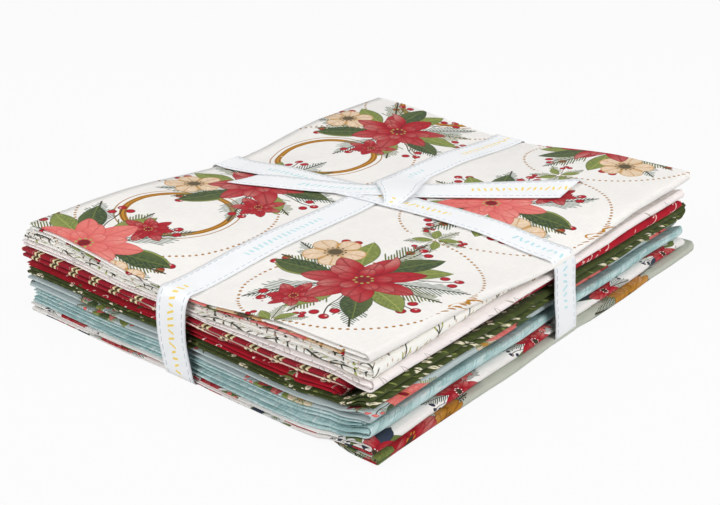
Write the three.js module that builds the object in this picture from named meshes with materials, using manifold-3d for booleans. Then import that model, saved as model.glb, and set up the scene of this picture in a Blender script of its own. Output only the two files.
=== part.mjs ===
// A bundle of eleven one-yard cuts of cloth. Each cut is folded in four to a flat packet, the packets
// lie on one another, and one satin ribbon is tied round them both ways, with a knot and two free ends
// on top. Millimetres, +Z up, front at -Y, origin on the surface under the middle of the bundle.

import * as THREE from "three";
import { mergeVertices } from "three/addons/utils/BufferGeometryUtils.js";
import Module from "manifold-3d";

const wasm = await Module();
wasm.setup();

// ---- driving dimensions ----

const STACK_HEIGHT = 48.3; // the eleven packets, where nothing presses or lifts them
const CLEARANCE = 0.3; // between one piece and the next
const LAYER_FILL = 0.86; // how much of a layer's height is cloth
const LEVELS = 4; // layers of cloth in a packet
const OUTER_GAP = (1 - LAYER_FILL) / (2 * LEVELS); // half of the gap between two layers

const SWELL = 2.0; // how far the folds lift the top along its edges
const EDGE_DIP = 6.5; // how far the ribbon pulls the top down where it turns over an edge
const FLAT_DIP = 1.2; // and along the rest of its way
const FIRST_SLOPING = 7; // only the packets from here up share in the dip
const DIP_POWER = 1.3; // how fast it grows from there to the top
const SIDE_SWELL = [60, 112]; // the swell grows between these distances from the middle, to the sides
const FRONT_SWELL = [70, 140]; // and to the front and back
const DIP_REACH = 64; // how far to either side the ribbon pulls the cloth down with it

const FADE = 10; // past the end of a short packet, the others close up within this distance
const FADED = 0.03; // what is left there of its height
const PUFF_FROM = 88; // from here to PUFF_TO the folds at the right swell to their own height
const PUFF_TO = 108;
const END_SPAN = 143; // a packet's right end goes evenly from its front value at -Y to its back value

const RIBBON_WIDTH = 19.5;
const RIBBON_THICK = 1.0;
const RIBBON_X = -8; // middle of the run from front to back, on average
const RIBBON_Y = 5; // middle of the run from left to right, on average
const HALF_LENGTH = 147.6; // the ribbon's outer face, front and back
const HALF_WIDTH = 118.0; // and left and right

const KNOT = { x: -6, y: 9, across: 13, deep: 12, rise: 3.2 };

// From the surface up. Ends are distances from the origin, and "endFront" and "endBack" are where the
// right-hand folds lie at the front and at the back.
const CUTS = [
  { name: "sage_floral", left: -115.5, endFront: 116.4, endBack: 116.4, front: 145, back: 145.6 },
  { name: "white_bloom", left: -115, endFront: 115.5, endBack: 115, front: 145.8, back: 145 },
  { name: "aqua_lower", left: -114.5, endFront: 112.5, endBack: 112, front: 144.5, back: 144.5 },
  { name: "aqua_upper", left: -113.5, endFront: 108, endBack: 101, front: 144, back: 143.5 },
  { name: "grey_blue_floral", left: -114.5, endFront: 113, endBack: 108, front: 144, back: 144 },
  { name: "olive_sprig", left: -115.5, endFront: 112.5, endBack: 112, front: 143.5, back: 143.5 },
  { name: "red_curl", left: -115, endFront: 98, endBack: 112.5, front: 143.5, back: 142.5 },
  { name: "plaid", left: -116, endFront: 98, endBack: 98, front: 143.5, back: 143 },
  { name: "cream_tonal", left: -116, endFront: 113, endBack: 113, front: 143, back: 142.5 },
  { name: "fine_stem", left: -115.5, endFront: 113.5, endBack: 106, front: 142.5, back: 142 },
  { name: "main_floral", left: -113.5, endFront: 110, endBack: 114, front: 142, back: 141.5 },
];

// How each packet is folded. A run goes along one level, from the level named first. A book fold has one
// large turn round a small one at the right, and a zigzag fold has two small ones there.
const BOOK_FOLD = [2, 1, 0, 3];
const ZIGZAG_FOLD = [0, 1, 2, 3];

// The heights are those of the loose packet: from the left to LEFT_PLACE, at MIDDLE_PLACE, and at the
// right-hand folds. They make up the stack's height at the left and in the middle.
const PACKETS = {
  sage_floral: { color: 0xb9bdb0, fold: BOOK_FOLD, atLeft: 4.2, atMiddle: 4.2, atFolds: 4.8 },
  white_bloom: { color: 0xece9e6, fold: BOOK_FOLD, atLeft: 4.9, atMiddle: 3.1, atFolds: 6.2 },
  aqua_lower: { color: 0xbfd6d4, fold: BOOK_FOLD, atLeft: 3.6, atMiddle: 4.7, atFolds: 5.6 },
  aqua_upper: { color: 0xb2cfcc, fold: BOOK_FOLD, atLeft: 3.1, atMiddle: 3.7, atFolds: 2.6 },
  grey_blue_floral: { color: 0xb7c4c4, fold: BOOK_FOLD, atLeft: 5.8, atMiddle: 4.4, atFolds: 5.8 },
  olive_sprig: { color: 0x4a5524, fold: ZIGZAG_FOLD, atLeft: 4.5, atMiddle: 3.7, atFolds: 9.2 },
  red_curl: { color: 0xa51526, fold: BOOK_FOLD, atLeft: 2.6, atMiddle: 5.6, atFolds: 4.4 },
  plaid: { color: 0x97172b, fold: BOOK_FOLD, atLeft: 7.8, atMiddle: 4.9, atFolds: 4.4 },
  cream_tonal: { color: 0xf0e7e4, fold: BOOK_FOLD, atLeft: 3.6, atMiddle: 4.0, atFolds: 5.6 },
  fine_stem: { color: 0xeeebe4, fold: BOOK_FOLD, atLeft: 3.2, atMiddle: 4.9, atFolds: 5.4 },
  main_floral: { color: 0xf0ece7, fold: BOOK_FOLD, atLeft: 5.0, atMiddle: 5.1, atFolds: 5.0 },
};
const LEFT_PLACE = -72;
const MIDDLE_PLACE = 56;

// The heights are worked out at these places and run straight between them, so that a packet's top
// always follows the underside of the next.
const GRID_X = [-125, LEFT_PLACE, -22, 6, MIDDLE_PLACE, 94, 108, 122];
const GRID_Y = [-152, -76, -14, 22, 84, 152];

const INNER_X = GRID_X.slice(1, -1);
const INNER_Y = GRID_Y.slice(1, -1);

// A packet low in the stack has next to no dip, so it needs no places beside the ribbon.
const LEVEL_X = [LEFT_PLACE, ...INNER_X.filter((x) => x >= MIDDLE_PLACE)];

// ---- heights in the stack ----

function smooth(from, to, value) {
  return THREE.MathUtils.smoothstep(value, from, to);
}

// The right-hand end of a packet at y.
function rightEnd(cut, y) {
  const share = THREE.MathUtils.clamp((y + END_SPAN) / (2 * END_SPAN), 0, 1);
  return THREE.MathUtils.lerp(cut.endFront, cut.endBack, share);
}

// A packet's height at (x, y) before the stack is brought to its own height. Past PUFF_TO it stays the same.
function looseHeight(cut, x, y) {
  const { atLeft, atMiddle, atFolds } = PACKETS[cut.name];
  const along = THREE.MathUtils.clamp((x - LEFT_PLACE) / (MIDDLE_PLACE - LEFT_PLACE), 0, 1);
  const flat = THREE.MathUtils.lerp(atLeft, atMiddle, along);
  const full = THREE.MathUtils.lerp(flat, atFolds, smooth(PUFF_FROM, PUFF_TO, x));
  const end = rightEnd(cut, y);
  return THREE.MathUtils.lerp(full, full * FADED, smooth(end, end + FADE, Math.min(x, PUFF_TO)));
}

// 1 under the ribbon, falling to 0 at DIP_REACH from its middle.
function nearRibbon(distance) {
  return 1 - smooth(0.7 * RIBBON_WIDTH, DIP_REACH, Math.abs(distance));
}

// How much the folds lift the top at (x, y), and how much the ribbon presses it down there.
function topChange(x, y) {
  const atSide = smooth(...SIDE_SWELL, Math.abs(x));
  const atFront = smooth(...FRONT_SWELL, Math.abs(y));
  const nearX = nearRibbon(x - RIBBON_X);
  const nearY = nearRibbon(y - RIBBON_Y);
  const lift = SWELL * (atSide + atFront - atSide * atFront);
  const dip = EDGE_DIP * Math.max(nearX * atFront, nearY * atSide) + FLAT_DIP * Math.max(nearX, nearY);
  return { lift, dip };
}

// The height of the line between packets number - 1 and number, counted from the surface.
function exactLine(number, x, y) {
  const heights = CUTS.map((cut) => looseHeight(cut, x, y));
  const total = heights.reduce((sum, height) => sum + height, 0);
  const below = heights.slice(0, number).reduce((sum, height) => sum + height, 0);
  const share = below / total;
  const { lift, dip } = topChange(x, y);
  const level = FIRST_SLOPING / CUTS.length;
  const pressed = Math.max(0, (share - level) / (1 - level)) ** DIP_POWER;
  return share * STACK_HEIGHT + share * lift * pressed - dip * pressed;
}

function cellOf(grid, value) {
  let cell = 0;
  while (cell < grid.length - 2 && value > grid[cell + 1]) cell += 1;
  return { cell, share: (value - grid[cell]) / (grid[cell + 1] - grid[cell]) };
}

const gridLines = CUTS.concat([null]).map((_, number) =>
  GRID_X.map((x) => GRID_Y.map((y) => exactLine(number, x, y))),
);

// The same line, straight between the places of the grid.
function line(number, x, y) {
  const across = cellOf(GRID_X, x);
  const along = cellOf(GRID_Y, y);
  const [near, far] = [gridLines[number][across.cell], gridLines[number][across.cell + 1]];
  const front = THREE.MathUtils.lerp(near[along.cell], far[along.cell], across.share);
  const back = THREE.MathUtils.lerp(near[along.cell + 1], far[along.cell + 1], across.share);
  return THREE.MathUtils.lerp(front, back, along.share);
}

// ---- the bottom packet lies on the surface, with a channel over each run of the ribbon ----

const CHANNEL_HEIGHT = RIBBON_THICK + CLEARANCE;
const CHANNEL_SLOPE = 4;
const CHANNEL_X = [-22, 6];
const CHANNEL_Y = [-14, 22];

function widened([from, to]) {
  return [from - CHANNEL_SLOPE, from, to, to + CHANNEL_SLOPE];
}

const CHANNELLED_Y = [INNER_Y[0], ...widened(CHANNEL_Y), INNER_Y.at(-1)];

function channelShare([from, to], value) {
  const outside = Math.max(from - value, value - to, 0);
  return 1 - Math.min(outside / CHANNEL_SLOPE, 1);
}

function bottomUnderside(x, y) {
  return CHANNEL_HEIGHT * Math.max(channelShare(CHANNEL_X, x), channelShare(CHANNEL_Y, y));
}

// ---- a folded packet ----

const farthestEnd = (cut) => Math.max(cut.endFront, cut.endBack);

// Where the runs go over into the turns at the right, with the packet at its longest.
function turnCentre(cut) {
  const { fold, atFolds } = PACKETS[cut.name];
  const reach = fold === BOOK_FOLD ? 0.375 : 0.125;
  return farthestEnd(cut) - (reach + LAYER_FILL / (2 * LEVELS)) * atFolds;
}

const RAW_END_STEP = 1; // the inner raw end lies this much further in than the outer one
const CLOSED_UP = 0.1; // how far apart places stay that close up before a turn

// Where the packet is shorter, its turns move in, and the places before them close up.
function shortened(cut, x, y) {
  const centre = turnCentre(cut);
  const less = farthestEnd(cut) - rightEnd(cut, y);
  if (x >= centre) return x - less;
  return Math.min(x, centre - less - CLOSED_UP * (centre - x));
}

const LARGE_TURN_STEPS = 5;
const SMALL_TURN_STEPS = 3;

// The turn between two runs: an arc, round in millimetres where the packet is unit high. way is 1 at the
// right and -1 at the left, and rise is the step from the first run's level to the second's.
function turn(centre, way, unit, from, rise, radius) {
  const steps = Math.abs(rise) > 0.5 ? LARGE_TURN_STEPS : SMALL_TURN_STEPS;
  return Array.from({ length: steps + 1 }, (_, step) => {
    const angle = (Math.PI * step) / steps;
    const x = centre + way * radius * unit * Math.sin(angle);
    return new THREE.Vector2(x, from + rise / 2 - Math.sign(rise) * radius * Math.cos(angle));
  });
}

// One face of the folded sheet, as points of (x, share of the packet's height). side is 1 for the face on
// the left of the way along the cloth and -1 for the other.
function foldedFace(cut, places, side) {
  const { fold, atLeft, atFolds } = PACKETS[cut.name];
  const halfSheet = LAYER_FILL / (2 * LEVELS);
  const smallTurn = 0.5 / LEVELS;
  const level = (run) => (fold[run] + 0.5) / LEVELS;
  const right = { centre: turnCentre(cut), unit: atFolds };
  const left = { centre: cut.left + (smallTurn + halfSheet) * atLeft, unit: atLeft };
  const between = places.filter((x) => x > left.centre && x < right.centre);
  const points = [new THREE.Vector2(cut.left + RAW_END_STEP, level(0) + side * halfSheet)];
  for (let run = 0; run < LEVELS; run += 1) {
    const way = run % 2 === 0 ? 1 : -1;
    const height = level(run) + way * side * halfSheet;
    const ordered = way === 1 ? between : between.toReversed();
    points.push(...ordered.map((x) => new THREE.Vector2(x, height)));
    if (run < LEVELS - 1) {
      const rise = level(run + 1) - level(run);
      const radius = Math.abs(rise) / 2 - Math.sign(rise) * way * side * halfSheet;
      const { centre, unit } = way === 1 ? right : left;
      points.push(...turn(centre, way, unit, level(run), rise, radius));
    } else {
      points.push(new THREE.Vector2(cut.left, height));
    }
  }
  return points;
}

// Each four-cornered face of the cloth is cut the same way as seen from above, so that two packets which
// meet have the same creases. Its six points are a, b, d, b, c, d.
function alignCreases(geometry) {
  const position = geometry.getAttribute("position");
  const [upper, under] = geometry.groups.slice(2, 4);
  const at = (index) => new THREE.Vector3().fromBufferAttribute(position, index);
  for (let start = upper.start; start < under.start + under.count; start += 6) {
    const [a, b, d, c] = [at(start), at(start + 1), at(start + 2), at(start + 4)];
    if ((d.x - b.x) * (d.y - b.y) > 0) continue;
    [a, b, c, a, c, d].forEach((corner, place) => {
      position.setXYZ(start + place, corner.x, corner.y, corner.z);
    });
  }
}

// A flat sheet that lies lengthwise along the cloth, folded up and set between the packet's two lines.
function packet(cut, number, places, crossings) {
  const faces = [foldedFace(cut, places, -1), foldedFace(cut, places, 1)];
  const rows = [cut.back, ...crossings.toReversed(), -cut.front];
  const cells = faces[0].length - 1;
  const geometry = new THREE.BoxGeometry(1, 1, 1, cells, 1, rows.length - 1).toNonIndexed();
  const position = geometry.getAttribute("position");
  for (let index = 0; index < position.count; index += 1) {
    const face = faces[Math.round(position.getY(index) + 0.5)];
    const point = face[Math.round((position.getX(index) + 0.5) * cells)];
    const y = rows[Math.round((position.getZ(index) + 0.5) * (rows.length - 1))];
    const share = (point.y - OUTER_GAP) / (1 - 2 * OUTER_GAP);
    const x = shortened(cut, point.x, y);
    const low = number === 0 ? bottomUnderside(x, y) : line(number, x, y) + CLEARANCE / 2;
    const high = line(number + 1, x, y) - CLEARANCE / 2;
    position.setXYZ(index, x, y, THREE.MathUtils.lerp(low, high, share));
  }
  alignCreases(geometry);
  geometry.computeVertexNormals();
  return geometry;
}

// ---- the ribbon ----

const toManifold = (geometry) => {
  const bare = geometry.clone();
  bare.deleteAttribute("normal");
  bare.deleteAttribute("uv");
  const merged = mergeVertices(bare, 1e-4);
  const mesh = new wasm.Mesh({
    numProp: 3,
    vertProperties: new Float32Array(merged.getAttribute("position").array),
    triVerts: new Uint32Array(merged.getIndex().array),
  });
  return new wasm.Manifold(mesh);
};

const fromManifold = (solid) => {
  const { vertProperties, triVerts } = solid.getMesh();
  const geometry = new THREE.BufferGeometry();
  geometry.setAttribute("position", new THREE.BufferAttribute(vertProperties, 3));
  geometry.setIndex(new THREE.BufferAttribute(triVerts, 1));
  const flat = geometry.toNonIndexed();
  flat.computeVertexNormals();
  return flat;
};

const topOfStack = (x, y) => line(CUTS.length, x, y) + CLEARANCE;

// A closed loop of ribbon between two outlines of (distance along, height). middleAt gives where the middle
// of its width lies, and toPlace turns all this into a place, so that the solid's faces point outwards.
function ribbonLoop(inside, outside, middleAt, toPlace) {
  const band = new THREE.Shape(outside.map(([along, height]) => new THREE.Vector2(along, height)));
  band.holes.push(new THREE.Path(inside.map(([along, height]) => new THREE.Vector2(along, height))));
  const geometry = new THREE.ExtrudeGeometry(band, { depth: RIBBON_WIDTH, steps: 1, bevelEnabled: false });
  const position = geometry.getAttribute("position");
  for (let index = 0; index < position.count; index += 1) {
    const along = position.getX(index);
    const height = position.getY(index);
    const offMiddle = position.getZ(index) - RIBBON_WIDTH / 2;
    position.setXYZ(index, ...toPlace(along, height, middleAt(along, height), offMiddle));
  }
  return toManifold(geometry);
}

// The run from front to back drifts a little to the right on its way down the front.
function lengthwiseMiddle(y, z) {
  const above = THREE.MathUtils.mapLinear(THREE.MathUtils.clamp(y, -20, 20), -20, 20, -5.5, -8.5);
  const below = THREE.MathUtils.mapLinear(y, -HALF_LENGTH, HALF_LENGTH, -4, -8.5);
  return THREE.MathUtils.lerp(below, above, THREE.MathUtils.clamp(z / STACK_HEIGHT, 0, 1));
}

// The run from left to right drifts to the back.
function crosswiseMiddle(x, z) {
  const above = THREE.MathUtils.mapLinear(THREE.MathUtils.clamp(x, -60, 40), -60, 40, -1, 6.5);
  const below = THREE.MathUtils.mapLinear(x, -HALF_WIDTH, HALF_WIDTH, -1, 4.5);
  return THREE.MathUtils.lerp(below, above, THREE.MathUtils.clamp(z / STACK_HEIGHT, 0, 1));
}

// How the ribbon's outer face goes over each edge and down to the surface, in from its outermost place.
const FRONT_TURN = [
  { inward: 4.1, height: 44.4 },
  { inward: 3.3, height: 39.8 },
  { inward: 2.5, height: 34.0 },
  { inward: 0.3, height: 9.5 },
  { inward: 0.0, height: 2.0 },
  { inward: 1.6, height: 0.0 },
];
const BACK_TURN = FRONT_TURN;
const RIGHT_TURN = [
  { inward: 6.4, height: 44.2 },
  { inward: 4.4, height: 42.7 },
  { inward: 3.7, height: 39.0 },
  { inward: 3.3, height: 36.5 },
  { inward: 3.2, height: 24.0 },
  { inward: 0.7, height: 12.5 },
  { inward: 0.0, height: 2.0 },
  { inward: 1.6, height: 0.0 },
];
const LEFT_TURN = [
  { inward: 3.1, height: 45.0 },
  { inward: 1.0, height: 41.4 },
  { inward: 0.2, height: 38.0 },
  { inward: 0.0, height: 36.0 },
  { inward: 0.0, height: 2.0 },
  { inward: 1.6, height: 0.0 },
];

// The outer outline of a loop, from the right or back turn over the top to the other and along the floor.
function loopOutline(half, plusTurn, minusTurn, topAt, places) {
  const plus = plusTurn.map(({ inward, height }) => [half - inward, height]);
  const minus = minusTurn.map(({ inward, height }) => [inward - half, height]);
  const top = places.map((along) => [along, topAt(along) + RIBBON_THICK]);
  return [...plus.toReversed(), ...top, ...minus];
}

// The same outline, moved in by the ribbon's thickness.
function inset(outline) {
  return outline.map(([along, height], index) => {
    const before = new THREE.Vector2(...outline.at(index - 1));
    const here = new THREE.Vector2(along, height);
    const after = new THREE.Vector2(...outline[(index + 1) % outline.length]);
    const first = here.clone().sub(before).normalize();
    const second = after.clone().sub(here).normalize();
    const way = first.clone().add(second).normalize();
    const inwards = new THREE.Vector2(-way.y, way.x);
    const reach = RIBBON_THICK / way.dot(first);
    return here.addScaledVector(inwards, reach).toArray();
  });
}

function lengthwiseLoop() {
  const places = [140, ...INNER_Y.toReversed(), -140];
  const outside = loopOutline(HALF_LENGTH, BACK_TURN, FRONT_TURN, (y) => topOfStack(RIBBON_X, y), places);
  const toPlace = (along, height, middle, offMiddle) => [middle + offMiddle, along, height];
  return ribbonLoop(inset(outside), outside, lengthwiseMiddle, toPlace);
}

function crosswiseLoop() {
  const places = [...INNER_X.toReversed(), -111];
  const outside = loopOutline(HALF_WIDTH, RIGHT_TURN, LEFT_TURN, (x) => topOfStack(x, RIBBON_Y), places);
  const toPlace = (along, height, middle, offMiddle) => [along, middle - offMiddle, height];
  return ribbonLoop(inset(outside), outside, crosswiseMiddle, toPlace);
}

// A free end of the ribbon lies on the top. Its sides run from two corners by the knot to two at its
// slanted cut, and it lies this far above the cloth, so that one can pass over the tied run below it.
const FREE_ENDS = [
  { fromLeft: [-8, 22], fromRight: [7, 9], toLeft: [69, 95], toRight: [76, 62], lift: 0.6 },
  { fromLeft: [-8, -1], fromRight: [-2, 18], toLeft: [-81, -33], toRight: [-77, -11], lift: 0.5 },
];
const FREE_END_STEPS = 6;

function freeEnd({ fromLeft, fromRight, toLeft, toRight, lift }) {
  const section = new THREE.Shape([
    new THREE.Vector2(0, 0),
    new THREE.Vector2(1, 0),
    new THREE.Vector2(1, RIBBON_THICK),
    new THREE.Vector2(0, RIBBON_THICK),
  ]);
  const lengthwise = { depth: 1, steps: FREE_END_STEPS, bevelEnabled: false };
  const geometry = new THREE.ExtrudeGeometry(section, lengthwise);
  const left = new THREE.LineCurve(new THREE.Vector2(...fromLeft), new THREE.Vector2(...toLeft));
  const right = new THREE.LineCurve(new THREE.Vector2(...fromRight), new THREE.Vector2(...toRight));
  const position = geometry.getAttribute("position");
  for (let index = 0; index < position.count; index += 1) {
    const reached = position.getZ(index);
    const place = right.getPoint(reached).lerp(left.getPoint(reached), position.getX(index));
    const height = topOfStack(place.x, place.y) + lift + position.getY(index);
    position.setXYZ(index, place.x, place.y, height);
  }
  return toManifold(geometry);
}

// The knot is a low dome, flat where it lies on the cloth.
function knot() {
  const quarter = new THREE.EllipseCurve(0, 0, 1, 1, 0, Math.PI / 2).getPoints(6);
  const geometry = new THREE.LatheGeometry([new THREE.Vector2(0, 0), ...quarter], 18);
  geometry.rotateX(Math.PI / 2);
  geometry.scale(KNOT.across, KNOT.deep, KNOT.rise);
  geometry.rotateZ(0.5);
  geometry.translate(KNOT.x, KNOT.y, topOfStack(KNOT.x, KNOT.y) + CLEARANCE);
  return toManifold(geometry);
}

function ribbon() {
  const parts = [lengthwiseLoop(), crosswiseLoop(), knot(), ...FREE_ENDS.map(freeEnd)];
  return fromManifold(parts.reduce((whole, part) => whole.add(part)));
}

// ---- the bundle ----

function cloth(color) {
  return new THREE.MeshStandardMaterial({ color, roughness: 0.92, metalness: 0 });
}

function addPiece(group, name, geometry, material) {
  const mesh = new THREE.Mesh(geometry, material);
  mesh.name = name;
  group.add(mesh);
}

const bundle = new THREE.Group();
bundle.name = "one_yard_fabric_bundle";

CUTS.forEach((cut, number) => {
  const atBottom = number === 0;
  const folds = number < FIRST_SLOPING ? LEVEL_X : INNER_X;
  const places = atBottom ? [...widened(CHANNEL_X), ...folds].toSorted((one, other) => one - other) : folds;
  const geometry = packet(cut, number, places, atBottom ? CHANNELLED_Y : INNER_Y);
  addPiece(bundle, `cut_${cut.name}`, geometry, cloth(PACKETS[cut.name].color));
});

const satin = new THREE.MeshStandardMaterial({ color: 0xf1f4f7, roughness: 0.5, metalness: 0 });
addPiece(bundle, "ribbon_tie", ribbon(), satin);

export default bundle;
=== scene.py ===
"""Eleven one-yard cuts of printed cotton, each folded in four both ways, tied up with satin ribbon.

Places in the tables are millimetres in the bundle's own frame: +X to the right, the front at -Y, +Z up
from the surface. Every piece is made in metres.
"""

import math
from functools import cached_property, reduce

import bmesh
import bpy
import numpy as np
from bpy.props import FloatProperty, FloatVectorProperty, IntProperty, PointerProperty
from bpy.types import Operator, Panel, PropertyGroup
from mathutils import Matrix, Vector


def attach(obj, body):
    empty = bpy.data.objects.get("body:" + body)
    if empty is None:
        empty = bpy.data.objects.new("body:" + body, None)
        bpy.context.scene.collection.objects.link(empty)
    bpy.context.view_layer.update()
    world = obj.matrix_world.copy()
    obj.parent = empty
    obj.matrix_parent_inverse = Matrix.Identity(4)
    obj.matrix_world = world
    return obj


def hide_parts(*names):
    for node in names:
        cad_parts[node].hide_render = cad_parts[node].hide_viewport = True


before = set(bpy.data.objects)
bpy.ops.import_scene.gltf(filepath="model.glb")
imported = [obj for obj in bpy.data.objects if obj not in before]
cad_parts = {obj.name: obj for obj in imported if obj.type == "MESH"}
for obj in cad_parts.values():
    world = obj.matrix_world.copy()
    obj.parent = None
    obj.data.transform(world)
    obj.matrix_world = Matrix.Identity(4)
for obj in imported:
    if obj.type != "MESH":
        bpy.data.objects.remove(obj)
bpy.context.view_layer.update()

bl_info = {
    "name": "One-yard fabric bundle",
    "version": (1, 0, 0),
    "blender": (4, 5, 0),
    "location": "3D View > Sidebar > Fabric Bundle",
    "description": "Folded cuts of printed cotton, stacked and tied with a satin ribbon",
    "category": "Add Mesh",
}

MM = 0.001
TURN = 2.0 * math.pi


# ---- settings ----


def linear(red, green, blue):
    """The linear colour of a printed tone given in 0 to 255."""
    tones = (value / 255.0 for value in (red, green, blue))
    return tuple(tone / 12.92 if tone <= 0.04045 else ((tone + 0.055) / 1.055) ** 2.4 for tone in tones)


def colour_property(name, red, green, blue):
    """A colour setting from a printed tone given in 0 to 255."""
    return FloatVectorProperty(
        name=name, description=f"Colour of the {name.lower()}", subtype="COLOR", size=3, min=0.0, max=1.0,
        default=linear(red, green, blue),
    )


def length_property(name, description, metres):
    return FloatProperty(name=name, description=description, unit="LENGTH", default=metres)


def angle_property(name, description, degrees):
    return FloatProperty(
        name=name, description=description, subtype="ANGLE", default=math.radians(degrees)
    )


def power_property(name, description, watts):
    return FloatProperty(name=name, description=description, unit="POWER", default=watts)


class BundleStage(PropertyGroup):
    """Camera and light."""

    azimuth: angle_property("Azimuth", "Camera's turn from the front towards the right", 39.52)
    elevation: angle_property("Elevation", "Camera's height over the surface", 23.74)
    distance: length_property("Distance", "From the camera to the point it looks at", 0.6943)
    aim: FloatVectorProperty(
        name="Aim", description="The point the camera looks at", subtype="TRANSLATION", unit="LENGTH",
        size=3, default=(-0.0055, -0.0082, 0.0177),
    )
    lens: FloatProperty(
        name="Lens", description="Focal length on a sensor 36 mm wide", unit="CAMERA", default=63.55
    )
    key_power: power_property("Key light", "Power of the large lamp on the right", 18.8)
    front_power: power_property("Front light", "Power of the large lamp in front on the left", 20.5)
    top_power: power_property("Top light", "Power of the large lamp over the bundle", 2.9)
    sky: FloatProperty(name="Sky", description="Strength of the even light all round", default=0.16)


class BundleSizes(PropertyGroup):
    """How the stack is pressed and pulled in."""

    stack_height: length_property(
        "Stack height", "The eleven packets, where nothing presses or lifts them", 0.0483
    )
    swell: length_property("Swell", "How far the folds lift the top along its edges", 0.002)
    edge_dip: length_property(
        "Edge dip", "How far the ribbon pulls the top down where it turns over an edge", 0.006
    )
    flat_dip: length_property(
        "Flat dip", "How far the ribbon presses the top down on the rest of its way", 0.0012
    )
    ribbon_width: length_property("Ribbon width", "Width of the satin ribbon", 0.0195)
    ribbon_thickness: length_property("Ribbon thickness", "Thickness of the satin ribbon", 0.0004)
    seed: IntProperty(name="Seed", description="Sets how uneven ends and layers fall", default=7)


class ClothColours(PropertyGroup):
    """Grounds and inks of the printed cottons, and the ribbon."""

    main_ground: colour_property("Main ground", 244, 241, 237)
    stem_ground: colour_property("Stem ground", 246, 244, 238)
    stem_ink: colour_property("Stem ink", 54, 50, 30)
    cream_ground: colour_property("Cream ground", 248, 240, 238)
    plaid_ground: colour_property("Plaid ground", 152, 12, 34)
    plaid_dark: colour_property("Plaid dark stripe", 58, 58, 24)
    plaid_pale: colour_property("Plaid pale stripe", 232, 224, 178)
    plaid_line: colour_property("Plaid fine line", 250, 228, 214)
    red_ground: colour_property("Red ground", 172, 8, 34)
    curl_ink: colour_property("Curl ink", 244, 214, 206)
    olive_ground: colour_property("Olive ground", 58, 68, 26)
    olive_tone: colour_property("Olive second tone", 80, 92, 42)
    sprig_ink: colour_property("Sprig ink", 240, 232, 205)
    grey_blue_ground: colour_property("Grey-blue ground", 186, 199, 200)
    aqua_upper_ground: colour_property("Upper aqua ground", 192, 216, 216)
    aqua_lower_ground: colour_property("Lower aqua ground", 198, 221, 221)
    aqua_shade: colour_property("Aqua shade", 128, 170, 170)
    white_ground: colour_property("White ground", 240, 237, 234)
    sage_ground: colour_property("Sage ground", 190, 194, 181)
    crimson: colour_property("Crimson ink", 182, 20, 38)
    deep_red: colour_property("Deep red ink", 122, 12, 28)
    salmon: colour_property("Salmon ink", 230, 120, 112)
    rose: colour_property("Rose ink", 206, 84, 84)
    blossom: colour_property("Blossom ink", 240, 222, 198)
    leaf_green: colour_property("Leaf green ink", 112, 126, 62)
    pine_green: colour_property("Pine green ink", 50, 66, 44)
    spring_green: colour_property("Spring green ink", 168, 174, 96)
    mist_green: colour_property("Mist green ink", 118, 138, 124)
    gold: colour_property("Gold ink", 190, 134, 36)
    deep_gold: colour_property("Deep gold ink", 134, 84, 26)
    blossom_shade: colour_property("Tan ink", 196, 164, 132)
    cream_shade: colour_property("Cream shade", 226, 210, 202)
    navy: colour_property("Navy ink", 44, 52, 78)
    ribbon_white: colour_property("Ribbon white", 245, 247, 249)
    ribbon_stitch: colour_property("Ribbon stitching", 184, 194, 208)
    ribbon_yellow: colour_property("Ribbon yellow marks", 248, 212, 30)
    ribbon_aqua: colour_property("Ribbon aqua marks", 172, 222, 228)


# ---- the cuts, from the surface up ----

# How a packet is folded: each run goes along the level named, counted from the bottom. A book fold has
# one large turn round a small one after the first run, and a zigzag fold has two small ones there.
BOOK_FOLD = (2, 1, 0, 3)
ZIGZAG_FOLD = (0, 1, 2, 3)
LEVELS = 4

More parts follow.
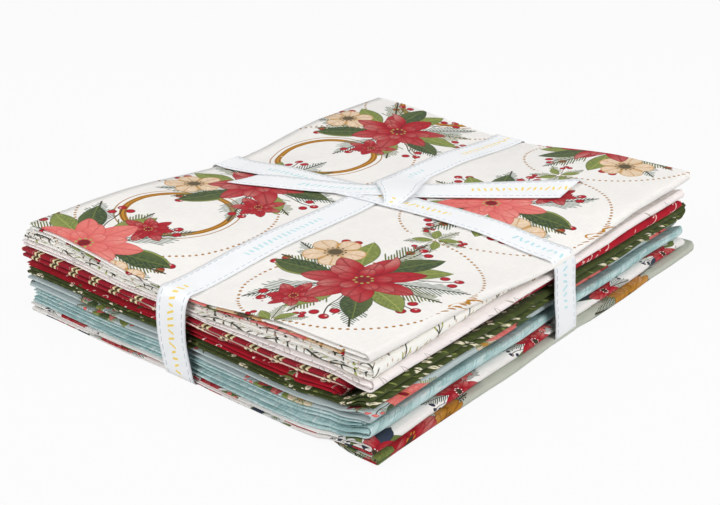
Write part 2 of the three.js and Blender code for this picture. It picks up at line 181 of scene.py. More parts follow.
# Ends of each packet from the middle of the bundle, its loose height on the left, in the middle and at
# the folds on the right, how it is folded, how thick its four levels are beside each other, how far the
# cloth wanders on the folds, and how far each run has slipped along them.
CUT_COLUMNS = (
    "name", "slot", "left", "right_front", "right_back", "front", "back",
    "at_left", "at_middle", "at_folds", "fold", "levels", "wander", "slips",
)
CUT_ROWS = (
    ("sage_floral", "sage_cotton", -114.0, 117.6, 118.4, 145.2, 145.6,
     4.2, 4.2, 4.8, BOOK_FOLD, (1.0, 0.9, 1.0, 1.1), 3.0, (0.0, 9.0, -7.0, 4.0)),
    ("white_bloom", "white_bloom_cotton", -114.5, 116.0, 114.8, 146.4, 140.0,
     4.9, 3.1, 6.2, BOOK_FOLD, (1.2, 1.0, 0.8, 1.0), 4.0, (6.0, -8.0, 3.0, -2.0)),
    ("aqua_lower", "aqua_cotton", -115.0, 112.5, 112.0, 144.7, 142.0,
     3.6, 4.7, 5.6, BOOK_FOLD, (1.3, 0.6, 1.4, 0.7), 4.0, (0.0, 8.0, -6.0, 3.0)),
    ("aqua_upper", "aqua_cotton", -113.5, 108.0, 101.0, 144.4, 143.5,
     3.1, 3.7, 2.6, BOOK_FOLD, (0.6, 1.4, 0.7, 1.3), 4.0, (5.0, -4.0, 9.0, 0.0)),
    ("grey_blue_floral", "grey_blue_cotton", -118.0, 113.0, 108.0, 144.4, 144.0,
     5.8, 4.4, 5.8, BOOK_FOLD, (1.4, 0.7, 0.6, 1.3), 4.0, (-6.0, 8.0, 2.0, -9.0)),
    ("olive_sprig", "olive_cotton", -118.0, 112.5, 112.0, 144.0, 143.5,
     4.5, 3.7, 8.4, ZIGZAG_FOLD, (0.8, 0.9, 1.1, 1.2), 4.0, (4.0, -5.0, 7.0, 0.0)),
    ("red_curl", "red_cotton", -118.0, 95.0, 112.8, 144.2, 138.5,
     2.6, 5.6, 5.2, BOOK_FOLD, (0.7, 1.5, 0.6, 1.2), 4.0, (0.0, 7.0, -5.0, 3.0)),
    ("plaid", "plaid_cotton", -120.5, 100.0, 98.0, 144.8, 143.0,
     7.8, 4.9, 4.4, BOOK_FOLD, (0.5, 0.6, 1.5, 1.6), 0.4, (5.7, 0.4, 7.4, 0.0)),
    ("cream_tonal", "cream_cotton", -121.0, 113.0, 112.4, 143.6, 138.0,
     3.6, 4.0, 5.6, BOOK_FOLD, (1.2, 0.8, 1.4, 0.7), 3.0, (3.0, -6.0, 8.0, 0.0)),
    ("fine_stem", "fine_stem_cotton", -119.0, 113.5, 106.0, 143.2, 142.0,
     3.2, 4.9, 5.4, BOOK_FOLD, (1.3, 0.8, 1.3, 0.7), 3.0, (-5.0, 6.0, 0.0, 3.0)),
    ("main_floral", "main_floral_cotton", -113.5, 110.0, 114.0, 142.6, 141.5,
     5.0, 5.1, 5.0, BOOK_FOLD, (0.9, 0.8, 1.0, 1.3), 4.0, (9.0, -7.0, 14.0, 0.0)),
)
CUTS = [dict(zip(CUT_COLUMNS, row)) for row in CUT_ROWS]

# A packet's height goes from its left value at LEFT_PLACE to its middle value at MIDDLE_PLACE, and over
# PUFF to that of its folds. It is a little uneven everywhere.
LEFT_PLACE = -72.0
MIDDLE_PLACE = 56.0
PUFF = (97.0, 110.0)
UNEVEN_HEIGHT = 0.07
UNEVEN_PITCH = 130.0

# A packet's right end goes from its front value at -END_SPAN to its back value, fast at first.
END_SPAN = 143.0
END_CURVE = 2.5

# Past the right end of a short packet the others close up within FADE, and FADED of its height stays.
# They close up past its front and back over EDGE_FADE.
FADE = 10.0
FADED = 0.03
EDGE_FADE = (1.0, 8.0)

# The top swells to the sides and to the front and back. The ribbon pulls down the packets from
# FIRST_SLOPING up, as far as DIP_REACH on either side of it. Creases show only near the top.
SIDE_SWELL = (60.0, 112.0)
FRONT_SWELL = (70.0, 140.0)
FIRST_SLOPING = 7
DIP_POWER = 1.3
DIP_REACH = (86.0, 74.0)
DIP_SOFTNESS = 0.4
CREASED_FROM = 0.93

# The middles of the ribbon's two runs, and how far out it goes.
RIBBON_X = -8.0
RIBBON_Y = 5.0
HALF_LENGTH = 147.6
HALF_WIDTH = 118.0

# The bottom packet has channels over the ribbon, and its front is set back, except near the right corner.
# The other packets hang down over it.
CHANNEL_HEIGHT = 1.3
CHANNEL_SLOPE = 4.0
CHANNEL_X = (-22.0, 9.0)
CHANNEL_Y = (-14.0, 22.0)
SET_BACK = 12.0
SET_BACK_END = (58.0, 106.0)

# Soft ridges and troughs in the top cloth, from one place to another.
CREASE_COLUMNS = ("x", "y", "to_x", "to_y", "width", "height")
CREASE_ROWS = (
    (8.0, -136.0, 34.0, -92.0, 6.0, 0.9),
    (16.0, -138.0, 62.0, -112.0, 5.0, -0.7),
    (-24.0, -137.0, -44.0, -96.0, 6.0, 0.8),
    (-30.0, -139.0, -76.0, -124.0, 5.0, -0.6),
    (106.0, -8.0, 70.0, -30.0, 6.0, 0.8),
    (107.0, 26.0, 74.0, 52.0, 7.0, 0.9),
    (-104.0, -16.0, -72.0, -40.0, 6.0, 0.8),
    (-106.0, 20.0, -70.0, 40.0, 6.0, -0.6),
    (6.0, 136.0, 30.0, 96.0, 6.0, 0.8),
    (-26.0, 134.0, -48.0, 92.0, 7.0, 0.7),
    (14.0, -6.0, 58.0, -22.0, 7.0, 0.6),
    (-22.0, 26.0, -64.0, 62.0, 8.0, 0.6),
    (60.0, -128.0, 104.0, -84.0, 11.0, 0.7),
    (-98.0, 84.0, -58.0, 126.0, 12.0, 0.7),
)
CREASES = [dict(zip(CREASE_COLUMNS, row)) for row in CREASE_ROWS]


def even_ramp(low, high, value):
    """0 up to low, 1 from high, rising evenly."""
    return np.clip((value - low) / (high - low), 0.0, 1.0)


def ramp(low, high, value):
    """0 up to low, 1 from high, with a soft start and end."""
    share = even_ramp(low, high, value)
    return share * share * (3.0 - 2.0 * share)


def lerp(start, end, share):
    return start + (end - start) * share


def waves(seed, place, amplitude, pitch):
    """A gentle uneven line: three waves of about this pitch, set by the seed."""
    draw = np.random.default_rng(seed)
    total = np.zeros_like(place)
    for share in (1.0, 0.6, 0.35):
        length = pitch * share * draw.uniform(0.8, 1.25)
        total = total + share * np.sin(TURN * (place / length + draw.uniform()))
    return amplitude * total / 1.95


def right_end(cut, y):
    """How far a packet reaches to the right."""
    share = even_ramp(-END_SPAN, END_SPAN, y)
    return lerp(cut["right_front"], cut["right_back"], 1.0 - (1.0 - share) ** END_CURVE)


def front_end(number, x):
    """How far the packet of that number reaches to the front."""
    back = SET_BACK * (1.0 - ramp(*SET_BACK_END, x)) if number == 0 else 0.0
    return CUTS[number]["front"] - back


def crease_height(x, y):
    """How far the creases lift the top cloth at (x, y)."""
    total = np.zeros_like(x)
    for crease in CREASES:
        along = np.array([crease["to_x"] - crease["x"], crease["to_y"] - crease["y"]])
        length = np.hypot(*along)
        along = along / length
        reached = ((x - crease["x"]) * along[0] + (y - crease["y"]) * along[1]) / length
        off = (x - crease["x"]) * along[1] - (y - crease["y"]) * along[0]
        ends = ramp(-0.1, 0.25, reached) * ramp(1.2, 0.5, reached)
        total = total + crease["height"] * ends * np.exp(-((off / crease["width"]) ** 2))
    return total


class Stack:
    """The pressed stack: how high each packet lies at any place, in millimetres."""

    def __init__(self, sizes):
        self.height = sizes.stack_height / MM
        self.swell = sizes.swell / MM
        self.edge_dip = sizes.edge_dip / MM
        self.flat_dip = sizes.flat_dip / MM
        self.ribbon = sizes.ribbon_width / MM
        self.seed = sizes.seed

    def loose(self, number, x, y):
        """A packet's height at (x, y) before the stack is brought to its own height."""
        cut = CUTS[number]
        flat = lerp(cut["at_left"], cut["at_middle"], even_ramp(LEFT_PLACE, MIDDLE_PLACE, x))
        full = lerp(flat, cut["at_folds"], ramp(*PUFF, x))
        seed = self.seed + 10 * number
        across = waves(seed, x, UNEVEN_HEIGHT, UNEVEN_PITCH)
        full = full * (1.0 + across + waves(seed + 1, y, UNEVEN_HEIGHT, UNEVEN_PITCH))
        end = right_end(cut, y)
        past_right = ramp(end, end + FADE, np.minimum(x, PUFF[1]))
        past_front = ramp(*EDGE_FADE, -y - front_end(number, x))
        past_back = ramp(*EDGE_FADE, y - cut["back"])
        return full * lerp(1.0, FADED, np.maximum(past_right, np.maximum(past_front, past_back)))

    def near_ribbon(self, distance):
        """1 under the ribbon, falling evenly to 0 on either side."""
        reach = np.where(distance < 0.0, *DIP_REACH)
        share = even_ramp(0.5 * self.ribbon, reach, np.abs(distance))
        return 1.0 - lerp(share, ramp(0.0, 1.0, share), DIP_SOFTNESS)

    def level(self, number, share, x, y):
        """How high a point lies that is this share of the way up the packet of that number."""
        heights = np.stack([self.loose(other, x, y) for other in range(len(CUTS))])
        below = (heights[:number].sum(axis=0) + share * heights[number]) / heights.sum(axis=0)
        at_side = ramp(*SIDE_SWELL, np.abs(x))
        at_front = ramp(*FRONT_SWELL, np.abs(y))
        near_x = self.near_ribbon(x - RIBBON_X)
        near_y = self.near_ribbon(y - RIBBON_Y)
        lift = self.swell * (at_side + at_front - at_side * at_front)
        edge_dip = self.edge_dip * np.maximum(near_x * at_front, near_y * at_side)
        dip = edge_dip + self.flat_dip * np.maximum(near_x, near_y)
        first = FIRST_SLOPING / len(CUTS)
        pressed = np.maximum(0.0, (below - first) / (1.0 - first)) ** DIP_POWER
        creased = crease_height(x, y) * ramp(CREASED_FROM, 1.0, below)
        return below * self.height + (below * lift - dip) * pressed + creased

    def top(self, x, y):
        return self.level(len(CUTS) - 1, np.ones_like(x), x, y)


def bottom_height(x, y):
    """The bottom packet lies on the surface, with a channel over each run of the ribbon."""
    shares = []
    for (low, high), place in ((CHANNEL_X, x), (CHANNEL_Y, y)):
        outside = np.maximum(np.maximum(low - place, place - high), 0.0)
        shares.append(1.0 - ramp(0.0, CHANNEL_SLOPE, outside))
    return CHANNEL_HEIGHT * np.maximum(*shares)


# ---- folding a flat sheet ----

# Where the flat runs have their points, closer together near the folds.
X_PLACES = np.concatenate([np.linspace(-108.0, 84.0, 18), [90.0, 95.0, 100.0, 105.0, 109.0]])
Y_PLACES = np.concatenate([[-141.5, -139.0, -136.0], np.linspace(-131.0, 131.0, 24), [136.0, 140.0]])

# How much of its own height is cloth: of a level, and of each of the four thicknesses in it. A packet
# keeps PACKET_GAP of its height free below and above.
PACK_FILL = 0.68
PLY_FILL = 0.67
PACKET_GAP = 0.03

# Steps round a fold, and how much more of the baked picture the folds and the right-hand side get.
LARGE_TURN_STEPS = 10
SMALL_TURN_STEPS = 8
TURN_ROOM = 5.0
RIGHT_ROOM = 1.5
RIGHT_ROOM_FROM = (80.0, 95.0)

# Along the front and back the levels end unevenly, and a thin level lies back by up to THIN_SET_BACK.
# The ribbon squeezes the front in where it comes down.
LEVEL_ENDS = (-0.8, 0.6)
THIN_SET_BACK = 3.0
ENDS_FROM = (100.0, 138.0)
END_WAVE = 0.5
SQUEEZE = 0.8
SQUEEZE_X = RIBBON_X - 3.0
SQUEEZE_REACH = (11.0, 30.0)

# The levels are unequal up to LEVELS_EVEN, where the right-hand folds begin. The left end is wavy.
LEVELS_EVEN = (90.0, 104.0)
LEFT_WAVE_FROM = (90.0, 110.0)

# How the cloth wanders and slips on its folds.
WANDER_PITCH = 420.0
SLIP_FROM = (-75.0, 35.0)


def with_middles(places):
    """The places with one more between any two that are over 6 mm apart."""
    middles = (places[1:] + places[:-1]) / 2.0
    return np.sort(np.concatenate([places, middles[np.diff(places) > 6.0]]))


class FoldPath:
    """The way of a folded sheet to and fro between two ends, in (place, share of the height).

    A point that lies q to the left of the path, in shares of the height, is at
    place + unit * q * side_place and share + q * side_share. run is 0 to 3 on the runs and goes over from
    one to the next in the turns.
    """

    def __init__(self, fold, places, near, far, near_unit, far_unit, fill):
        """far is where the turns after the first run lie, near where the raw ends lie."""
        half = fill / (2.0 * LEVELS)
        self.columns = []
        outward = 1.0 if far > near else -1.0
        reach = max(abs(fold[1] - fold[0]), abs(fold[3] - fold[2])) / (2.0 * LEVELS) + half
        self.far_centre = far - outward * reach * far_unit
        near_reach = 0.5 / LEVELS + half
        self.near_centre = near + outward * near_reach * near_unit
        low, high = sorted((self.near_centre, self.far_centre))
        between = np.sort(places[(places > low + 0.3) & (places < high - 0.3)])
        ordered = between if outward > 0 else between[::-1]
        for run in range(LEVELS):
            way = 1.0 if run % 2 == 0 else -1.0
            level = (fold[run] + 0.5) / LEVELS
            if run == 0:
                self.add(near + outward * 0.8, level, 0.0, way, run)
            for place in ordered if way > 0 else ordered[::-1]:
                self.add(place, level, 0.0, way, run)
            if run == LEVELS - 1:
                self.add(near, level, 0.0, way, run)
                break
            centre = self.far_centre if way > 0 else self.near_centre
            unit = far_unit if way > 0 else near_unit
            rise = (fold[run + 1] - fold[run]) / LEVELS
            sign = math.copysign(1.0, rise)
            steps = LARGE_TURN_STEPS if abs(rise) > 0.5 else SMALL_TURN_STEPS
            for step in range(steps + 1):
                angle = math.pi * step / steps
                bulge = way * outward * abs(rise) / 2.0 * math.sin(angle)
                self.add(
                    centre + unit * bulge,
                    level + rise / 2.0 - sign * abs(rise) / 2.0 * math.cos(angle),
                    -sign * outward * math.sin(angle),
                    way * math.cos(angle),
                    run + step / steps,
                    unit,
                )
        columns = np.array(self.columns).T
        self.place, self.share, self.side_place, self.side_share, self.run, self.unit = columns

    def add(self, place, share, side_place, side_share, run, unit=1.0):
        self.columns.append((place, share, side_place, side_share, run, unit))

    def lengths(self, height):
        """How far along the cloth each point is, in millimetres. height is the packet's at each point."""
        steps = np.hypot(np.diff(self.place), np.diff(self.share) * (height[1:] + height[:-1]) / 2.0)
        return np.concatenate([[0.0], np.cumsum(steps)])

    def room(self, height, wanted):
        """Shares from 0 to 1 along the cloth, with more room on the turns and where more is wanted."""
        weights = 1.0 + TURN_ROOM * np.abs(self.side_place) + wanted
        steps = np.diff(self.lengths(height)) * (weights[1:] + weights[:-1]) / 2.0
        total = np.concatenate([[0.0], np.cumsum(steps)])
        return total / total[-1]


class FoldedCut:
    """One cut of cloth, folded to a quarter lengthwise and then to a quarter crosswise."""

    def __init__(self, number, stack):
        cut = CUTS[number]
        self.number = number
        self.stack = stack
        self.on_top = number == len(CUTS) - 1
        x_places = X_PLACES
        y_places = Y_PLACES
        if self.on_top:
            x_places = with_middles(x_places)
            y_places = with_middles(y_places)
        self.furthest = max(cut["right_front"], cut["right_back"])
        self.u_path = FoldPath(
            cut["fold"], x_places, cut["left"], self.furthest, cut["at_left"], cut["at_folds"], PACK_FILL
        )
        unit_v = cut["at_middle"] / LEVELS
        self.v_path = FoldPath(BOOK_FOLD, y_places, cut["back"], -cut["front"], unit_v, unit_v, PLY_FILL)
        high_u = lerp(cut["at_middle"], cut["at_folds"], ramp(*PUFF, self.u_path.place))
        high_v = np.full_like(self.v_path.place, unit_v)
        self.flat_u = self.u_path.lengths(high_u)
        self.flat_v = self.v_path.lengths(high_v)
        self.room_u = self.u_path.room(high_u, RIGHT_ROOM * ramp(*RIGHT_ROOM_FROM, self.u_path.place))
        self.room_v = self.v_path.room(high_v, 0.0)
        uneven = np.random.default_rng(self.stack.seed + 100 + number).uniform(*LEVEL_ENDS, LEVELS)
        thick = np.array(cut["levels"])[list(cut["fold"])]
        self.front_offsets = uneven - THIN_SET_BACK * np.clip((1.0 - thick) / 0.4, 0.0, 1.0)

    def places(self, grid_u, grid_v, side):
        """Where the points of the flat grid lie in the folded packet."""
        number = self.number
        cut = CUTS[number]
        seed = self.stack.seed + number
        u_path = self.u_path
        v_path = self.v_path
        ply = side * PLY_FILL / (2.0 * LEVELS)
        y = v_path.place[grid_v] + v_path.unit[grid_v] * ply * v_path.side_place[grid_v]
        pack_share = v_path.share[grid_v] + ply * v_path.side_share[grid_v]
        off = (pack_share - 0.5) * PACK_FILL / LEVELS
        x = u_path.place[grid_u] + u_path.unit[grid_u] * off * u_path.side_place[grid_u]
        share = u_path.share[grid_u] + off * u_path.side_share[grid_u]
        run = u_path.run[grid_u]
        flat_u = self.flat_u[grid_u]

        # Where the packet is shorter, its turns move in and the places before them close up.
        centre = u_path.far_centre
        less = self.furthest - right_end(cut, y) - waves(seed + 40, y, END_WAVE, 90.0)
        x = np.where(x >= centre, x - less, np.minimum(x, centre - less - 0.1 * (centre - x)))

        # The ends of the levels are uneven, and the ribbon squeezes them in.
        front_shift = np.interp(run, range(LEVELS), self.front_offsets)
        front_shift = front_shift + waves(seed + 60, flat_u, END_WAVE, 120.0)
        front_shift = front_shift - SQUEEZE * (1.0 - ramp(*SQUEEZE_REACH, np.abs(x - SQUEEZE_X)))
        front_shift = front_shift - cut["front"] + front_end(number, x)
        back_shift = np.interp(run, range(LEVELS), self.front_offsets[::-1])
        back_shift = back_shift + waves(seed + 80, flat_u, END_WAVE, 120.0)
        y = y - front_shift * ramp(*ENDS_FROM, -y) + back_shift * ramp(*ENDS_FROM, y)
        x = x + waves(seed + 20, y, END_WAVE, 110.0) * ramp(*LEFT_WAVE_FROM, -x)

        thick = np.array(cut["levels"])
        steps = np.concatenate([[0.0], np.cumsum(thick) / thick.sum()])
        uneven = np.interp(share * LEVELS, range(LEVELS + 1), steps)
        share = lerp(uneven, share, ramp(*LEVELS_EVEN, x))
        share = PACKET_GAP + (1.0 - 2.0 * PACKET_GAP) * share
        z = self.stack.level(number, share, x, y)
        if number == 0:
            low = bottom_height(x, y)
            z = low + z * (1.0 - low / self.stack.level(0, np.ones_like(x), x, y))
        return np.stack([x, y, z], axis=1)

    def make(self):
        """The cloth as a closed sheet. Folding turns the slab over, so its faces are turned back."""
        shell = slab(len(self.flat_u) - 1, len(self.flat_v) - 1)
        bmesh.ops.reverse_faces(shell, faces=shell.faces)
        grid_u, grid_v, side = grid_numbers(shell)
        cut = CUTS[self.number]
        wander = cut["wander"]
        seed = self.stack.seed + 300 + self.number
        flat_u = self.flat_u[grid_u]
        flat_v = self.flat_v[grid_v]
        wandered_u = flat_u + waves(seed, flat_v, wander, WANDER_PITCH)
        slip = np.interp(self.u_path.run[grid_u], range(LEVELS), cut["slips"])
        slip = slip * ramp(*SLIP_FROM, self.u_path.place[grid_u])
        wandered_v = flat_v + waves(seed + 50, flat_u, wander, WANDER_PITCH) + slip
        return finished(
            f"cloth_{cut['name']}",
            shell,
            self.places(grid_u, grid_v, side),
            np.stack([wandered_u, wandered_v], axis=1) * MM,
            np.stack([self.room_u[grid_u], self.room_v[grid_v]], axis=1),
        )


def slab(columns, rows):
    """A closed flat sheet of (columns, rows) cells between z 0 and 1. x and y number the cells."""
    shell = bmesh.new()
    made = bmesh.ops.create_grid(shell, x_segments=columns, y_segments=rows, size=0.5)["verts"]
    bmesh.ops.translate(shell, verts=made, vec=(0.5, 0.5, 0.0))
    bmesh.ops.scale(shell, verts=made, vec=(columns, rows, 1.0))
    raised = bmesh.ops.extrude_face_region(shell, geom=shell.faces[:], use_keep_orig=True)
    lifted = [item for item in raised["geom"] if isinstance(item, bmesh.types.BMVert)]
    bmesh.ops.translate(shell, verts=lifted, vec=(0.0, 0.0, 1.0))
    bmesh.ops.recalc_face_normals(shell, faces=shell.faces)

    def order(face):
        """A number for the face's place. Without it the rim's faces come in another order each run."""
        x, y, z = face.calc_center_median()
        return x + 2.0 * (columns + 1) * (y + 2.0 * (rows + 1) * z)

    shell.faces.sort(key=order)
    return shell


def grid_numbers(shell):
    """The column and row of each point of a slab, and its side, -1 or 1."""
    x, y, z = np.array([vertex.co for vertex in shell.verts]).T
    return np.rint(x).astype(int), np.rint(y).astype(int), z * 2.0 - 1.0


def mesh_of(name, shell):
    """The shell as a mesh. The shell itself is given up."""
    mesh = bpy.data.meshes.new(name)
    shell.to_mesh(mesh)
    shell.free()
    return mesh


def placed(name, data):
    """A new object in the scene, with this mesh, lamp or camera."""
    piece = bpy.data.objects.new(name, data)
    bpy.context.scene.collection.objects.link(piece)
    return piece


def finished(name, shell, places, flat_places, bake_places):
    """Makes the piece of a shell whose points move to these places, with its two maps."""
    mesh = mesh_of(name, shell)
    mesh.vertices.foreach_set("co", (places * MM).astype(np.float32).ravel())
    corners = np.zeros(len(mesh.loops), dtype=np.int32)
    mesh.loops.foreach_get("vertex_index", corners)
    for map_name, values in (("cloth", flat_places), ("OFBake", bake_places)):
        layer = mesh.uv_layers.new(name=map_name)
        layer.data.foreach_set("uv", values[corners].astype(np.float32).ravel())
    mesh.shade_smooth()
    mesh.update()
    return placed(name, mesh)


# ---- the ribbon ----

# The loops of ribbon against the sides, as distance in from the furthest place and height.
FRONT_TURN = (
    (9.5, 45.6), (5.4, 44.2), (2.9, 41.6), (1.5, 37.5), (0.6, 31.0), (0.4, 20.0), (0.4, 9.5), (0.5, 2.4),
    (3.0, 0.5),
)
RIGHT_TURN = (
    (11.0, 45.4), (7.4, 43.9), (5.2, 41.6), (4.2, 38.0), (3.6, 32.0), (2.8, 24.0), (1.0, 12.5), (0.6, 2.6),
    (2.8, 0.5),
)
LEFT_TURN = (
    (8.0, 46.0), (4.0, 44.6), (1.8, 41.4), (0.9, 37.0), (0.6, 24.0), (0.5, 10.0), (0.8, 3.4), (2.8, 0.6)
)
# How far from the furthest place the runs on top of the stack end, and those under it.
TOP_END = 15.0
UNDER_END = 8.0

# Points of the runs on top and of those under the stack, steps from one point to the next on a loop and on
# the tied piece, and steps across the ribbon.
TOP_POINTS = 24
UNDER_POINTS = 20
LOOP_STEPS = 3
TIED_STEPS = 8
ACROSS_STEPS = 8

# The x of the lengthwise loop's middle on top, from one end of KNOT_Y to the other, and under the stack,
# from the front to the back. Its foot at the front stands FRONT_FOOT further right. Then the y of the
# crosswise loop's middle in the same way, from left to right.
KNOT_Y = (-20.0, 20.0)
LENGTHWISE_TOP = (-5.5, -8.5)
LENGTHWISE_UNDER = (-4.5, -8.5)
FRONT_FOOT = 3.5
KNOT_X = (-60.0, 40.0)
CROSSWISE_TOP = (-1.0, 6.5)
CROSSWISE_UNDER = (-1.0, 4.5)

# How far the runs on top lie over the cloth. The crosswise one rises over the lengthwise one.
LENGTHWISE_LIFT = 0.45
CROSSWISE_LIFT = 0.8
CROSSING_LIFT = 0.6
CROSSING_REACH = 13.0

# The runs under the stack lie at UNDER_HEIGHT, and the crosswise one over the other at UNDER_CROSSING.
UNDER_HEIGHT = 0.55
UNDER_CROSSING = -6.5
UNDER_CROSSING_REACH = (11.0, 19.0)
UNDER_LIFT = 0.5

# The tied piece of ribbon over the crossing, from one free end to the other. Each row is (x, y, lift) of
# one edge and of the other, where lift is how far it lies over the cloth.
TIED_ROWS = (
    (-81.0, -33.0, 0.5, -77.0, -11.5, 0.9),
    (-66.0, -27.0, 0.5, -61.0, -6.5, 1.3),
    (-46.0, -18.5, 0.6, -41.0, 1.0, 1.5),
    (-26.0, -9.5, 1.0, -21.5, 9.0, 1.6),
    (-13.0, -4.0, 1.6, -13.0, 14.0, 2.0),
    (-3.0, 1.5, 2.1, -8.5, 18.0, 2.4),
    (6.5, 8.0, 1.9, -3.5, 23.0, 2.1),
    (15.0, 15.0, 1.1, 3.5, 29.0, 1.5),
    (46.3, 39.0, 0.8, 33.5, 54.0, 2.2),
    (76.0, 62.0, 0.7, 72.5, 90.8, 1.8),
)
# The piece that wraps round it, in the same way.
WRAP_ROWS = (
    (-17.6, 44.0, 0.2, 1.4, 46.0, 0.2),
    (-16.6, 28.0, 1.3, 5.6, 35.0, 1.2),
    (-14.6, 16.6, 2.8, 9.0, 27.5, 2.6),
    (-5.0, 8.0, 3.7, 13.2, 17.0, 3.3),
    (2.6, 1.6, 2.7, 14.8, 6.5, 2.5),
    (6.0, -2.5, 1.3, 14.4, 1.5, 1.2),
    (7.5, -5.0, 0.2, 13.0, -1.5, 0.2),
)

# Where the marks of each of the four strips start in their repeat, in millimetres.
MARKS_START = (125.0, 25.0, 82.0, 165.0)


def smooth_line(points, per_step):
    """A smooth line through the points, with so many steps from one to the next."""
    points = np.array(points)
    padded = np.concatenate([[2.0 * points[0] - points[1]], points, [2.0 * points[-1] - points[-2]]])
    share = np.arange(per_step)[:, None] / per_step
    parts = []
    for before, start, end, after in zip(padded, padded[1:], padded[2:], padded[3:]):
        parts.append(0.5 * (
            2.0 * start
            + (end - before) * share
            + (2.0 * before - 5.0 * start + 4.0 * end - after) * share**2
            + (3.0 * start - before - 3.0 * end + after) * share**3
        ))
    return np.concatenate([*parts, points[-1:]])


def lengthwise_middle(y, z, height):
    """The x of the lengthwise loop's middle at (y, z)."""
    above = lerp(*LENGTHWISE_TOP, even_ramp(*KNOT_Y, y))
    below = lerp(*LENGTHWISE_UNDER, even_ramp(-HALF_LENGTH, HALF_LENGTH, y))
    foot = FRONT_FOOT * (1.0 - ramp(0.0, 20.0, z)) * (1.0 - ramp(-140.0, -40.0, y))
    return lerp(below, above, even_ramp(0.0, height, z)) + foot


def crosswise_middle(x, z, height):
    """The y of the crosswise loop's middle at (x, z)."""
    above = lerp(*CROSSWISE_TOP, even_ramp(*KNOT_X, x))
    below = lerp(*CROSSWISE_UNDER, even_ramp(-HALF_WIDTH, HALF_WIDTH, x))
    return lerp(below, above, even_ramp(0.0, height, z))


class Ribbon:
    """The satin ribbon: two loops round the stack and the tied piece over their crossing."""

    def __init__(self, stack, sizes):
        self.stack = stack
        self.width = sizes.ribbon_width / MM
        self.thickness = sizes.ribbon_thickness / MM

    def loop(self, half, start, last_turn, first_turn, lengthwise):
        """A loop from its crossing on top over the far side, under the stack and back."""
        far = half - TOP_END
        last = [(half - inward, height) for inward, height in last_turn]
        first = [(inward - half, height) for inward, height in reversed(first_turn)]
        top_out = [(place, np.nan) for place in np.linspace(start, far, TOP_POINTS)]
        top_in = [(place, np.nan) for place in np.linspace(-far, start, TOP_POINTS)]
        under_end = half - UNDER_END
        under = [(place, UNDER_HEIGHT) for place in np.linspace(under_end, -under_end, UNDER_POINTS)]
        line = np.array([*top_out, *last, *under, *first, *top_in])
        on_top = np.isnan(line[:, 1])
        middle = lengthwise_middle if lengthwise else crosswise_middle
        centre = middle(line[:, 0], np.where(on_top, self.stack.height, line[:, 1]), self.stack.height)
        across = np.linspace(-0.5, 0.5, ACROSS_STEPS + 1)
        off = centre[:, None] + self.width * across[None, :]
        place = np.repeat(line[:, :1], len(across), axis=1)
        x, y = (off, place) if lengthwise else (place, off)
        lift = LENGTHWISE_LIFT
        if not lengthwise:
            lift = CROSSWISE_LIFT + CROSSING_LIFT * np.exp(-(((x - RIBBON_X) / CROSSING_REACH) ** 2))
        surface = self.stack.top(x, y) + lift
        z = np.where(on_top[:, None], surface, np.minimum(line[:, 1:], surface + 0.3))
        if not lengthwise:
            crossing = 1.0 - ramp(*UNDER_CROSSING_REACH, np.abs(x - UNDER_CROSSING))
            z = np.where(line[:, 1:] < 1.0, z + UNDER_LIFT * crossing, z)
        rows = np.stack([x, y, z], axis=2)
        return smooth_line(rows.reshape(len(line), -1), LOOP_STEPS).reshape(-1, len(across), 3)

    def tied(self, rows, pleats):
        """A piece of ribbon between two edges, in soft pleats where it is narrower than the ribbon."""
        edges = smooth_line(rows, TIED_STEPS)
        across = np.linspace(0.0, 1.0, ACROSS_STEPS + 1)
        near, far = edges[:, None, :3], edges[:, None, 3:]
        line = lerp(near, far, across[None, :, None])
        x, y, lift = np.moveaxis(line, 2, 0)
        span = np.hypot(*(edges[:, :2] - edges[:, 3:5]).T)
        pinched = np.clip((self.width - span) / self.width, 0.0, 0.5)[:, None]
        crown = np.sin(math.pi * across)[None, :]
        lift = lift + pinched * (pleats * np.cos(5.0 * math.pi * across)[None, :] + 2.0 * crown)
        return np.stack([x, y, self.stack.top(x, y) + lift], axis=2)

    def make(self):
        """The ribbon's piece, and its length in millimetres."""
        strips = [
            self.loop(HALF_LENGTH, RIBBON_Y, FRONT_TURN, FRONT_TURN, True),
            self.loop(HALF_WIDTH, RIBBON_X, RIGHT_TURN, LEFT_TURN, False),
            self.tied(TIED_ROWS, 0.9),
            self.tied(WRAP_ROWS, 0.6),
        ]
        shell = bmesh.new()
        places, flat_places, bake_places = [], [], []
        total = 0.0
        for number, strip in enumerate(strips):
            part = slab(strip.shape[0] - 1, strip.shape[1] - 1)
            along, across, side = grid_numbers(part)
            part_mesh = mesh_of("part", part)
            shell.from_mesh(part_mesh)
            bpy.data.meshes.remove(part_mesh)
            ahead = np.gradient(strip, axis=0)
            aside = np.gradient(strip, axis=1)
            normal = np.cross(ahead, aside)
            normal = normal / np.linalg.norm(normal, axis=2, keepdims=True)
            offset = normal * self.thickness / 2.0
            places.append(strip[along, across] + side[:, None] * offset[along, across])
            steps = np.linalg.norm(np.diff(strip[:, ACROSS_STEPS // 2], axis=0), axis=1)
            lengths = MARKS_START[number] + np.concatenate([[0.0], np.cumsum(steps)])
            share = across / ACROSS_STEPS
            flat_places.append(np.stack([share * self.width, lengths[along]], axis=1) * MM)
            bake_places.append(np.stack(
                [(number + 0.04 + 0.92 * share) / len(strips), along / along.max()], axis=1
            ))
            total += steps.sum()
        joined = [np.concatenate(parts) for parts in (places, flat_places, bake_places)]
        return finished("ribbon_satin", shell, *joined), total


# ---- drawing prints with shader nodes ----

BUMP_STRENGTH = 0.8


